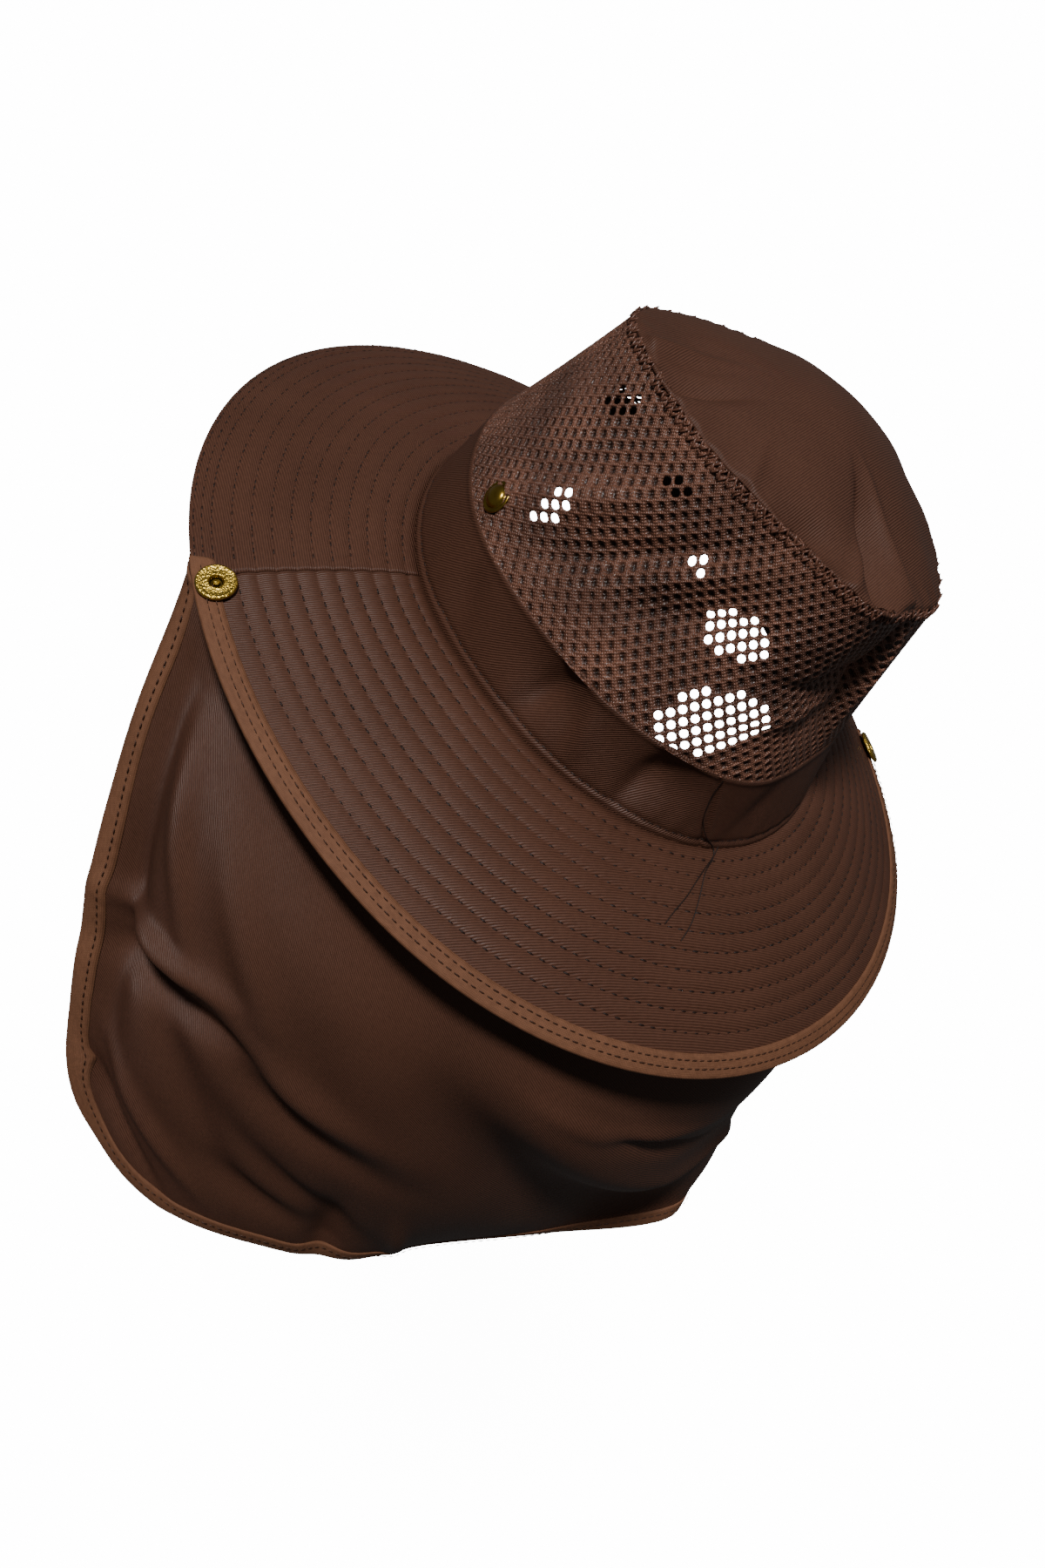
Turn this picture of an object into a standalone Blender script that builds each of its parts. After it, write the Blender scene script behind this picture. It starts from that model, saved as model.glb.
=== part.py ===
"""Wide-brimmed sun hat with a net crown wall and a long neck flap behind.

Metres, +Z up. The face looks to -Y, the wearer's left is +X and the neck is at +Y.
The origin is the centre of the head opening, in the plane of the crown's foot.
Angles run round the head from the wearer's left (0) past the back (90) to the right (180).
"""

import math
from collections import namedtuple

import bmesh
import bpy
from mathutils import Matrix, Vector

# Head opening and crown
HEAD_WIDTH = 0.182
HEAD_LENGTH = 0.200
BAND_HEIGHT = 0.034
NET_HEIGHT = 0.080
DOME_RISE = 0.010
DOME_ROUND = 1.7

# Brim and flap
BRIM_WIDTH = 0.083
BRIM_CURL = 1.35
FLAP_LENGTH = 0.210
FLAP_CORNER_ACROSS = 0.13
FLAP_CORNER_DOWN = 0.20

# Cloth, net and tape
BRIM_THICK = 0.0022
BAND_THICK = 0.0016
NET_THICK = 0.0014
TOP_THICK = 0.0014
FLAP_THICK = 0.0011
TAPE_THICK = 0.0008
TAPE_WIDTH = 0.0080
TAPE_OVERLAP = 0.0080
FLAP_TAPE_START = 0.0030
NET_COLUMNS = 30
NET_ROWS = 4
NET_STRAND = 0.0044

# Snap fasteners
SNAP_INSET = 0.0070
SNAP_BEHIND_SEAM = 0.0052
WASHER_RADIUS = 0.0074
WASHER_HOLE = 0.0030
WASHER_THICK = 0.0012
SOCKET_RADIUS = 0.0036
SOCKET_HEIGHT = 0.0028
POST_RADIUS = 0.0019
BARREL_RADIUS = 0.0024
STUD_RADIUS = 0.0062
STUD_RISE = 0.0036
STUD_BACK_RADIUS = 0.0040
STUD_BACK_THICK = 0.0010
STUD_ABOVE_BAND = 0.0085
STUD_STAND = 0.0006

# Clearances: pieces that touch, edges sewn end to end, and the flap's cloth inside its folded tape
TOUCH_GAP = 0.0003
SEAM_GAP = 0.0005
TAPE_EASE = 0.0010
MERGE = 0.00001

# Crown sections. Reaches are shares of the head oval, the band's rise a share of BAND_HEIGHT
# and the seam's rise a share of BAND_HEIGHT + NET_HEIGHT.
CrownSection = namedtuple("CrownSection", "angle_deg foot band_reach band_rise seam_reach seam_rise")
CROWN_SECTIONS = [
    CrownSection(0, 1.01, 0.98, 1.00, 0.75, 1.00),
    CrownSection(30, 0.96, 0.93, 1.00, 0.71, 1.01),
    CrownSection(60, 0.96, 0.93, 1.00, 0.70, 1.01),
    CrownSection(90, 0.99, 0.94, 1.00, 0.76, 0.97),
    CrownSection(120, 1.01, 0.88, 1.00, 0.72, 0.90),
    CrownSection(150, 1.03, 0.93, 1.00, 0.82, 0.83),
    CrownSection(180, 1.01, 0.96, 1.00, 0.86, 0.82),
    CrownSection(210, 1.00, 0.95, 1.00, 0.86, 0.84),
    CrownSection(240, 1.00, 0.95, 1.00, 0.76, 0.85),
    CrownSection(270, 1.00, 0.95, 1.00, 0.69, 0.85),
    CrownSection(300, 0.97, 0.94, 1.00, 0.70, 0.87),
    CrownSection(330, 0.99, 0.95, 1.00, 0.77, 0.94),
]

# Brim sections: how steeply the cloth falls, and its width as a share of BRIM_WIDTH.
BrimSection = namedtuple("BrimSection", "angle_deg slope_deg width")
BRIM_SECTIONS = [
    BrimSection(0, 20, 0.98),
    BrimSection(30, 25, 1.00),
    BrimSection(60, 26, 1.02),
    BrimSection(90, 25, 1.00),
    BrimSection(120, 23, 0.97),
    BrimSection(150, 22, 0.95),
    BrimSection(180, 23, 1.00),
    BrimSection(210, 22, 1.00),
    BrimSection(240, 23, 1.02),
    BrimSection(270, 23, 1.03),
    BrimSection(300, 21, 1.06),
    BrimSection(330, 20, 1.02),
]

# Dents in the crown: on the band, net or top, where, how wide and how deep. Height and tall are shares
# of the piece from its lower edge up (the seam to the middle on the top). Depth is a share of HEAD_WIDTH.
Dent = namedtuple("Dent", "piece angle_deg height wide_deg tall depth")
DENTS = [
    Dent("band", 42, 0.75, 12, 0.5, 0.020),
    Dent("band", 74, 0.70, 10, 0.5, 0.022),
    Dent("net", 50, 0.40, 22, 0.35, 0.030),
    Dent("net", 105, 0.45, 16, 0.40, 0.040),
    Dent("top", -18, 0.25, 24, 0.28, 0.025),
    Dent("top", 108, 0.32, 26, 0.28, 0.035),
]

# Flap ribs, evenly spaced from the left snap round the back to the right snap: where on the brim's edge
# each hangs, where it ends (side and back are shares of the brim's half width, drop of FLAP_LENGTH,
# from the origin), how far it bellies outward and how far its hem tucks in, as shares of FLAP_LENGTH.
FlapRib = namedtuple("FlapRib", "attach_deg side back drop belly tuck")
FLAP_RIBS = [
    FlapRib(-4, 0.83, 0.67, 1.08, 0.060, 0.00),
    FlapRib(20, 0.59, 0.84, 1.09, 0.050, 0.00),
    FlapRib(44, 0.36, 0.92, 1.09, 0.045, 0.00),
    FlapRib(67, 0.14, 0.95, 1.10, 0.030, 0.00),
    FlapRib(90, -0.10, 0.96, 1.10, 0.020, 0.04),
    FlapRib(113, -0.43, 0.97, 1.03, 0.000, 0.05),
    FlapRib(137, -0.71, 0.95, 0.89, -0.050, 0.02),
    FlapRib(160, -0.80, 0.76, 0.92, -0.020, 0.04),
    FlapRib(184, -0.84, 0.56, 0.98, 0.080, 0.00),
]

# Folds in the flap: centre as shares across and down, the way the fold runs (turned from straight down
# towards the right), and its half length, half width and height as shares of FLAP_LENGTH.
FlapFold = namedtuple("FlapFold", "across down lean_deg length width height")
FLAP_FOLDS = [
    FlapFold(0.543, 0.42, 54, 0.55, 0.090, 0.035),
    FlapFold(0.500, 0.55, 54, 0.55, 0.110, -0.060),
    FlapFold(0.120, 0.62, 48, 0.35, 0.060, -0.020),
    FlapFold(0.330, 0.92, 10, 0.20, 0.070, -0.030),
]

Finish = namedtuple("Finish", "colour roughness metallic")
FINISHES = {
    "twill": Finish((0.075, 0.036, 0.024), 0.62, 0.0),
    "net": Finish((0.105, 0.048, 0.034), 0.50, 0.0),
    "tape": Finish((0.150, 0.066, 0.036), 0.75, 0.0),
    "brass": Finish((0.62, 0.45, 0.12), 0.32, 1.0),
}

BRIM_COLUMNS = 40
BRIM_ROWS = 4
FLAP_COLUMNS = 32
FLAP_ROWS = 14
TURN_STEPS = 20


def finish(name):
    """The named material, made once."""
    found = bpy.data.materials.get(name)
    if found:
        return found
    material = bpy.data.materials.new(name)
    material.use_nodes = True
    shader = material.node_tree.nodes["Principled BSDF"]
    shader.inputs["Base Color"].default_value = (*FINISHES[name].colour, 1.0)
    shader.inputs["Roughness"].default_value = FINISHES[name].roughness
    shader.inputs["Metallic"].default_value = FINISHES[name].metallic
    return material


def smooth_between(before, start, end, after, share):
    """Catmull-Rom value between start and end."""
    return 0.5 * (
        2 * start
        + (end - before) * share
        + (2 * before - 5 * start + 4 * end - after) * share**2
        + (3 * start - before - 3 * end + after) * share**3
    )


def round_table(table, column, angle_deg):
    """A column's value at an angle, read smoothly round a closed table of evenly spaced rows."""
    place = (angle_deg % 360) / 360 * len(table)
    row = int(place)
    values = [getattr(table[(row + step) % len(table)], column) for step in (-1, 0, 1, 2)]
    return smooth_between(*values, place - row)


def along_table(table, column, share):
    """A column's value at a share of the way down an open table, read smoothly."""
    last = len(table) - 1
    place = min(max(share, 0.0), 1.0) * last
    row = min(int(place), last - 1)
    values = [getattr(table[min(max(row + step, 0), last)], column) for step in (-1, 0, 1, 2)]
    return smooth_between(*values, place - row)


def oval(angle_deg, reach, rise):
    """A point over the head oval, at a share of its size and at a height."""
    angle = math.radians(angle_deg)
    return Vector((HEAD_WIDTH / 2 * reach * math.cos(angle), HEAD_LENGTH / 2 * reach * math.sin(angle), rise))


def dent_depth(piece, angle_deg, height):
    """How far the piece is pushed in at a place, in metres."""
    depth = 0.0
    for dent in DENTS:
        if dent.piece == piece:
            turn = (angle_deg - dent.angle_deg + 180) % 360 - 180
            spread = (turn / dent.wide_deg) ** 2 + ((height - dent.height) / dent.tall) ** 2
            depth += dent.depth * HEAD_WIDTH * math.exp(-spread)
    return depth


def foot_ring(angle_deg):
    """The crown's foot, where it meets the brim."""
    return oval(angle_deg, round_table(CROWN_SECTIONS, "foot", angle_deg), 0.0)


def band_ring(angle_deg):
    """The band's upper edge, where the net begins."""
    reach = round_table(CROWN_SECTIONS, "band_reach", angle_deg)
    rise = round_table(CROWN_SECTIONS, "band_rise", angle_deg) * BAND_HEIGHT
    return oval(angle_deg, reach, rise)


def seam_ring(angle_deg):
    """The net's upper edge, where the top begins."""
    reach = round_table(CROWN_SECTIONS, "seam_reach", angle_deg)
    rise = round_table(CROWN_SECTIONS, "seam_rise", angle_deg) * (BAND_HEIGHT + NET_HEIGHT)
    return oval(angle_deg, reach, rise)


def wall_point(piece, low, high, angle_deg, share):
    """A point on the wall between two rings, pushed in where the piece is dented."""
    point = low.lerp(high, share)
    outward = Vector((point.x, point.y, 0.0)).normalized()
    fade = math.sin(math.pi * min(max(share, 0.0), 1.0)) ** 0.7
    return point - outward * dent_depth(piece, angle_deg, share) * fade


def band_point(angle_deg, rise):
    """Outer face of the band, rise metres up from the crown's foot; below the foot it goes straight down."""
    if rise <= 0:
        return foot_ring(angle_deg) + Vector((0, 0, rise))
    return wall_point("band", foot_ring(angle_deg), band_ring(angle_deg), angle_deg, rise / BAND_HEIGHT)


def net_point(angle_deg, share):
    """Outer face of the net wall, from the band (0) to the top's seam (1)."""
    return wall_point("net", band_ring(angle_deg), seam_ring(angle_deg), angle_deg, share)


def top_point(angle_deg, share):
    """Outer face of the crown's top, from its seam (0) to its middle (1)."""
    seam = seam_ring(angle_deg)
    out = 1 - share
    middle = BAND_HEIGHT + NET_HEIGHT + DOME_RISE
    height = seam.z + (middle - seam.z) * (1 - out**DOME_ROUND)
    height -= dent_depth("top", angle_deg, share) * math.sin(math.pi * out) ** 0.5
    return Vector((seam.x * out, seam.y * out, height))


def brim_width(angle_deg):
    """How wide the brim's cloth and its bound edge are together."""
    return round_table(BRIM_SECTIONS, "width", angle_deg) * BRIM_WIDTH


def cloth_edge(angle_deg):
    """How far out the brim's cloth goes, inside its bound edge."""
    return brim_width(angle_deg) - TOUCH_GAP - TAPE_THICK


def brim_point(angle_deg, out):
    """Upper face of the brim, out metres along the cloth from the crown's foot."""
    angle = math.radians(angle_deg)
    slope = math.radians(round_table(BRIM_SECTIONS, "slope_deg", angle_deg))
    width = brim_width(angle_deg)
    run = out * math.cos(slope)
    drop = width * math.sin(slope) * max(out / width, 0.0) ** BRIM_CURL
    return foot_ring(angle_deg) + Vector((run * math.cos(angle), run * math.sin(angle), -drop))


def brim_axes(angle_deg, out):
    """Unit vectors on the brim: outward along the cloth, and up off it."""
    step = 0.0005
    outward = (brim_point(angle_deg, out + step) - brim_point(angle_deg, out - step)).normalized()
    along = (brim_point(angle_deg + 0.2, out) - brim_point(angle_deg - 0.2, out)).normalized()
    return outward, outward.cross(along).normalized()


def rounded_share(across, down):
    """The flap's flat shape: a rectangle's places moved so that its two lower corners are round."""
    nearest = min(across, 1 - across)
    if nearest >= FLAP_CORNER_ACROSS or down <= 1 - FLAP_CORNER_DOWN:
        return across, down
    side = 1 - nearest / FLAP_CORNER_ACROSS
    low = (down - 1 + FLAP_CORNER_DOWN) / FLAP_CORNER_DOWN
    round_side = side * math.sqrt(1 - low**2 / 2)
    round_low = low * math.sqrt(1 - side**2 / 2)
    inset = FLAP_CORNER_ACROSS * (1 - round_side)
    return (inset if across < 0.5 else 1 - inset), 1 - FLAP_CORNER_DOWN * (1 - round_low)


def fold_height(across, down):
    """How far the flap's folds push the cloth outward, in metres."""
    height = 0.0
    span = math.pi * (HEAD_WIDTH / 2 + BRIM_WIDTH) / FLAP_LENGTH
    for fold in FLAP_FOLDS:
        lean = math.radians(fold.lean_deg)
        side, fall = (across - fold.across) * span, down - fold.down
        along = side * math.sin(lean) + fall * math.cos(lean)
        beside = side * math.cos(lean) - fall * math.sin(lean)
        height += fold.height * FLAP_LENGTH * math.exp(-((along / fold.length) ** 2) - (beside / fold.width) ** 2)
    free = min(across, 1 - across, 1 - down)
    return height * min(down / 0.12, 0.3 + free / 0.10, 1.0)


def flap_top(angle_deg):
    """The middle of the flap cloth's upper edge, just under the brim's bound edge."""
    out = cloth_edge(angle_deg) - FLAP_THICK / 2
    _, up = brim_axes(angle_deg, out)
    under = BRIM_THICK + 2 * TOUCH_GAP + TAPE_THICK + FLAP_THICK / 2
    return brim_point(angle_deg, out) - up * under


def flap_base(across, down):
    """The flap without its folds: a rib from the brim's edge to the hem, bellied and tucked in."""
    half_width = HEAD_WIDTH / 2 + BRIM_WIDTH
    angle = math.radians(along_table(FLAP_RIBS, "attach_deg", across))
    top = flap_top(math.degrees(angle))
    low = Vector(
        (
            along_table(FLAP_RIBS, "side", across) * half_width,
            along_table(FLAP_RIBS, "back", across) * half_width,
            -along_table(FLAP_RIBS, "drop", across) * FLAP_LENGTH,
        )
    )
    belly = along_table(FLAP_RIBS, "belly", across) * FLAP_LENGTH
    tuck = along_table(FLAP_RIBS, "tuck", across) * FLAP_LENGTH
    outward = Vector((low.x + top.x, low.y + top.y, 0.0)).normalized()
    turned_in = tuck * max(0.0, (down - 0.55) / 0.45) ** 2
    return top.lerp(low, down) + outward * (belly * math.sin(math.pi * down) - turned_in)


def flap_point(across, down):
    """Middle of the flap cloth: across from left (0) to right (1), down from the brim (0) to the hem (1)."""
    step = 0.01
    fall = flap_base(across, down + step) - flap_base(across, down - step)
    along = flap_base(min(across + step, 1.0), down) - flap_base(max(across - step, 0.0), down)
    return flap_base(across, down) + fall.cross(along).normalized() * fold_height(across, down)


def linked(obj, collection):
    """The object, put in a collection."""
    collection.objects.link(obj)
    return obj


def sheet(name, columns, rows, place, material, collection, closed=False):
    """A cloth surface: a grid whose corners place(across, up) puts where they belong."""
    bm = bmesh.new()
    bmesh.ops.create_grid(bm, x_segments=columns, y_segments=rows, size=0.5)
    for vert in bm.verts:
        vert.co = place(vert.co.x + 0.5, vert.co.y + 0.5)
    if closed:
        bmesh.ops.remove_doubles(bm, verts=bm.verts, dist=MERGE)
    mesh = bpy.data.meshes.new(name)
    bm.to_mesh(mesh)
    bm.free()
    mesh.materials.append(finish(material))
    return linked(bpy.data.objects.new(name, mesh), collection)


def thicken(obj, thickness, offset=-1.0):
    """Gives a surface its wall; offset -1 keeps it as the outer face, 0 as the middle, 1 as the inner face."""
    wall = obj.modifiers.new("wall", "SOLIDIFY")
    wall.thickness = thickness
    wall.offset = offset
    wall.use_even_offset = True
    wall.use_quality_normals = True
    obj.data.shade_smooth()
    return obj


def turned(name, profile, frame, material, collection):
    """A round piece: its half profile turned about its own axis and set in a frame."""
    bm = bmesh.new()
    verts = [bm.verts.new((radius, 0.0, height)) for radius, height in profile]
    for first, second in zip(verts, verts[1:]):
        bm.edges.new((first, second))
    mesh = bpy.data.meshes.new(name)
    bm.to_mesh(mesh)
    bm.free()
    mesh.materials.append(finish(material))
    obj = linked(bpy.data.objects.new(name, mesh), collection)
    obj.matrix_world = frame
    turn = obj.modifiers.new("turn", "SCREW")
    turn.steps = TURN_STEPS
    turn.render_steps = TURN_STEPS
    turn.use_merge_vertices = True
    turn.merge_threshold = MERGE
    turn.use_smooth_shade = False
    return obj


def set_frame(origin, up, towards):
    """A frame at origin whose Z is up and whose X leans towards a direction."""
    across = (towards - up * towards.dot(up)).normalized()
    return Matrix.Translation(origin) @ Matrix((across, up.cross(across), up)).transposed().to_4x4()


def bore(target, radius, depth, frame, cutters):
    """Cuts a round hole through a piece, along the frame's Z and depth each way."""
    bm = bmesh.new()
    bmesh.ops.create_cone(
        bm, cap_ends=True, segments=TURN_STEPS, radius1=radius, radius2=radius, depth=depth * 2, matrix=frame
    )
    name = target.name + "_bore_" + str(len(cutters.objects))
    mesh = bpy.data.meshes.new(name)
    bm.to_mesh(mesh)
    bm.free()
    cutter = linked(bpy.data.objects.new(name, mesh), cutters)
    cutter.display_type = "WIRE"
    cutter.hide_render = True
    cut = target.modifiers.new("bore", "BOOLEAN")
    cut.operation = "DIFFERENCE"
    cut.solver = "EXACT"
    cut.object = cutter


def make_crown(parts):
    """Band, net wall and top, one above the other with a seam's gap between."""

    def band_place(across, up):
        """The band's corners, from the brim's underside to its upper edge."""
        return band_point(across * 360, -BRIM_THICK + up * (BAND_HEIGHT + BRIM_THICK))

    def top_place(across, up):
        """The top's corners, from its seam in to its middle."""
        inset = SEAM_GAP / (HEAD_WIDTH / 2)
        return top_point(across * 360, inset + up * (1 - inset))

    band = thicken(sheet("crown_band", 48, 3, band_place, "twill", parts, closed=True), BAND_THICK)
    top = thicken(sheet("crown_top", 40, 7, top_place, "twill", parts, closed=True), TOP_THICK)
    return band, make_net(parts), top


def net_place(across, up):
    """The lattice's corners: each row set half a gap on from the one below, clear of both seams."""
    low = (SEAM_GAP + BAND_THICK / 2) / NET_HEIGHT
    high = 1 - (SEAM_GAP + TOP_THICK) / NET_HEIGHT
    lean_deg = (up * NET_ROWS - 1.5) * 180 / NET_COLUMNS
    return net_point(across * 360 + lean_deg, low + up * (high - low))


def stud_frame(side_share):
    """Where a stud sits: on the lowest row's cell at a share of the way round, Z out of the net."""
    left, right = side_share, side_share + 1 / NET_COLUMNS
    row = 1 / NET_ROWS
    rise = STUD_ABOVE_BAND / (NET_HEIGHT * row)
    low = (net_place(left, 0) + net_place(right, 0)) / 2
    high = (net_place(left, row) + net_place(right, row)) / 2
    along = net_place(right, 0) - net_place(left, 0)
    upward = (high - low).normalized()
    return set_frame(low.lerp(high, rise), along.cross(upward).normalized(), upward)


def make_net(parts):
    """The net wall: a leaning lattice of gaps, left whole behind each stud."""
    net = sheet("crown_net", NET_COLUMNS, NET_ROWS, net_place, "net", parts, closed=True)
    studs = [stud_frame(share).translation for share in (0, 0.5)]
    bm = bmesh.new()
    bm.from_mesh(net.data)
    whole = {min(bm.faces, key=lambda face: (face.calc_center_median() - stud).length).index for stud in studs}
    cells = [face for face in bm.faces if face.index not in whole]
    bmesh.ops.inset_individual(bm, faces=cells, thickness=NET_STRAND / 2, use_even_offset=True)
    bmesh.ops.delete(bm, geom=cells, context="FACES")
    bm.to_mesh(net.data)
    bm.free()
    return thicken(net, NET_THICK)


def make_brim(parts):
    """Back and front halves, a seam's gap apart at each side."""
    halves = []
    for name, start_deg in (("brim_back", 0), ("brim_front", 180)):

        def place(across, up, start_deg=start_deg):
            middle_deg = start_deg + across * 180
            inner = SEAM_GAP + BRIM_THICK / 4
            out = cloth_edge(middle_deg) * (1 - up) + inner * up
            side_gap = math.degrees(SEAM_GAP / 2 / (HEAD_WIDTH / 2 + out))
            return brim_point(start_deg + side_gap + across * (180 - 2 * side_gap), out)

        halves.append(thicken(sheet(name, BRIM_COLUMNS, BRIM_ROWS, place, "twill", parts), BRIM_THICK))
    return halves


def make_brim_binding(parts):
    """Tape folded over the back half's edge, its ends lapping a little onto the front half."""
    lap_deg = math.degrees(TAPE_OVERLAP / (HEAD_WIDTH / 2 + BRIM_WIDTH))
    columns = BRIM_COLUMNS + 2

    def place(across, up):
        """The tape's corners: under the cloth, round its edge and back over it."""
        column = round(across * columns)
        angle_deg = (column - 1) * 180 / BRIM_COLUMNS
        if column == 0:
            angle_deg = -lap_deg
        if column == columns:
            angle_deg = 180 + lap_deg
        edge = cloth_edge(angle_deg)
        row = round(up * 3)
        out = edge - TAPE_WIDTH if row in (0, 3) else edge
        outward, above = brim_axes(angle_deg, out)
        lift = -BRIM_THICK - TOUCH_GAP if row < 2 else TOUCH_GAP
        past = TOUCH_GAP if row in (1, 2) else 0.0
        return brim_point(angle_deg, out) + above * lift + outward * past

    return thicken(sheet("brim_binding", columns, 3, place, "tape", parts), TAPE_THICK, 1.0)


def make_flap(parts):
    """The flap's cloth, hung from the brim's edge."""

    def place(across, up):
        """The cloth's corners."""
        return flap_point(*rounded_share(across, 1 - up))

    return thicken(sheet("neck_flap", FLAP_COLUMNS, FLAP_ROWS, place, "twill", parts), FLAP_THICK, 0.0)


def flap_edge_path():
    """Grid places down the flap's left side, along its hem and up its right side, each with the next one in."""
    left = [((0, row), (1, row)) for row in range(0, FLAP_ROWS)]
    hem = [((column, FLAP_ROWS), (column, FLAP_ROWS - 1)) for column in range(1, FLAP_COLUMNS)]
    right = [((FLAP_COLUMNS, row), (FLAP_COLUMNS - 1, row)) for row in range(FLAP_ROWS - 1, -1, -1)]
    left_corner = ((0, FLAP_ROWS), (1, FLAP_ROWS - 1))
    right_corner = ((FLAP_COLUMNS, FLAP_ROWS), (FLAP_COLUMNS - 1, FLAP_ROWS - 1))
    return left + [left_corner] + hem + [right_corner] + right


def flap_grid_point(column, row):
    """A corner of the flap's cloth, by its column and row."""
    return flap_point(*rounded_share(column / FLAP_COLUMNS, row / FLAP_ROWS))


def flap_grid_normal(column, row):
    """The cloth's outward direction at a grid place."""
    left, right = max(column - 1, 0), min(column + 1, FLAP_COLUMNS)
    over, under = max(row - 1, 0), min(row + 1, FLAP_ROWS)
    along = flap_grid_point(right, row) - flap_grid_point(left, row)
    fall = flap_grid_point(column, under) - flap_grid_point(column, over)
    return fall.cross(along).normalized()


def make_flap_binding(parts):
    """Tape folded over the flap's sides and hem."""
    path = flap_edge_path()
    last = len(path) - 1
    spine = []
    for number, (edge_place, inner_place) in enumerate(path):
        edge, inner = flap_grid_point(*edge_place), flap_grid_point(*inner_place)
        normal, inner_normal = flap_grid_normal(*edge_place), flap_grid_normal(*inner_place)
        share = min(TAPE_WIDTH / (inner - edge).length, 1.0)
        spine.append((edge, edge.lerp(inner, share), normal, normal.lerp(inner_normal, share).normalized()))
    for end, beside in ((0, 1), (last, last - 1)):
        share = FLAP_TAPE_START / (spine[beside][0] - spine[end][0]).length
        spine[end] = tuple(mine.lerp(other, share) for mine, other in zip(spine[end], spine[beside]))

    def place(across, up):
        """The tape's corners: behind the cloth, round its edge and back over it."""
        edge, inner, normal, inner_normal = spine[round(across * last)]
        stand = FLAP_THICK / 2 + TAPE_EASE
        row = round(up * 3)
        side = stand if row >= 2 else -stand
        if row in (0, 3):
            return inner + inner_normal * side
        return edge + (edge - inner).normalized() * TAPE_EASE + normal * side

    return thicken(sheet("flap_binding", last, 3, place, "tape", parts), TAPE_THICK, 1.0)


def make_brim_snap(name, angle_deg, parts):
    """A ring on the brim's tape, with a barrel through the cloth to a socket beneath."""
    out = cloth_edge(angle_deg) - SNAP_INSET
    outward, up = brim_axes(angle_deg, out)
    frame = set_frame(brim_point(angle_deg, out), up, outward)
    low = 2 * TOUCH_GAP + TAPE_THICK
    high = low + WASHER_THICK
    under = -BRIM_THICK - 2 * TOUCH_GAP - TAPE_THICK
    profile = [
        (0.0, high - WASHER_THICK * 0.25),
        (POST_RADIUS * 0.6, high - WASHER_THICK * 0.25),
        (POST_RADIUS * 0.6, low + WASHER_THICK * 0.25),
        (WASHER_HOLE - WASHER_THICK * 0.3, low + WASHER_THICK * 0.25),
        (WASHER_HOLE, high),
        (WASHER_RADIUS - WASHER_THICK * 0.6, high),
        (WASHER_RADIUS, high - WASHER_THICK * 0.6),
        (WASHER_RADIUS, low),
        (BARREL_RADIUS, low),
        (BARREL_RADIUS, under),
        (SOCKET_RADIUS, under),
        (SOCKET_RADIUS, under - SOCKET_HEIGHT),
        (0.0, under - SOCKET_HEIGHT),
    ]
    return turned(name, profile, frame, "brass", parts), frame


def make_crown_stud(name, side_share, parts):
    """A domed stud on the net just above the band, with its back plate inside."""
    frame = stud_frame(side_share)
    stand = STUD_STAND
    arc = []
    for step in range(6):
        angle = step / 5 * math.pi / 2
        arc.append((STUD_RADIUS * math.sin(angle), stand + 0.0008 + (STUD_RISE - 0.0008) * math.cos(angle)))
    back = -NET_THICK - TOUCH_GAP - STUD_STAND
    profile = arc + [
        (STUD_RADIUS, stand),
        (POST_RADIUS, stand),
        (POST_RADIUS, back),
        (STUD_BACK_RADIUS, back),
        (STUD_BACK_RADIUS, back - STUD_BACK_THICK),
        (0.0, back - STUD_BACK_THICK),
    ]
    return turned(name, profile, frame, "brass", parts), frame


def main():
    """Makes every piece, then bores the holes that the snaps and studs go through."""
    for obj in list(bpy.data.objects):
        bpy.data.objects.remove(obj)
    parts = bpy.data.collections.new("flap_sun_hat")
    cutters = bpy.data.collections.new("cutters")
    bpy.context.scene.collection.children.link(parts)
    bpy.context.scene.collection.children.link(cutters)
    cutters.hide_render = True
    _, net, _ = make_crown(parts)
    back, _ = make_brim(parts)
    binding = make_brim_binding(parts)
    make_flap(parts)
    make_flap_binding(parts)
    snap_deg = math.degrees(SNAP_BEHIND_SEAM / (HEAD_WIDTH / 2 + BRIM_WIDTH - SNAP_INSET))
    for side, snap_at, stud_share in (("left", snap_deg, 0), ("right", 180 - snap_deg, 0.5)):
        _, snap_frame = make_brim_snap("brim_snap_" + side, snap_at, parts)
        _, stud_frame = make_crown_stud("crown_stud_" + side, stud_share, parts)
        bore(back, BARREL_RADIUS + TOUCH_GAP, BRIM_THICK * 3, snap_frame, cutters)
        bore(binding, BARREL_RADIUS + TOUCH_GAP, BRIM_THICK * 3, snap_frame, cutters)
        bore(net, POST_RADIUS + TOUCH_GAP, NET_THICK * 4, stud_frame, cutters)


main()
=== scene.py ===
"""Fine cloth, net, tape, stitches and brass for the flap sun hat.

Metres, +Z up. The face looks to -Y, the wearer's left is +X and the neck is at +Y.
Angles run round the head from the wearer's left (0) past the back (90) to the right (180).
"""

import logging
import math
from dataclasses import dataclass
from enum import Enum
from typing import Callable, NamedTuple, Optional, Sequence, Union

import bmesh
import bpy
import numpy as np
from mathutils import Matrix, Vector

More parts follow.
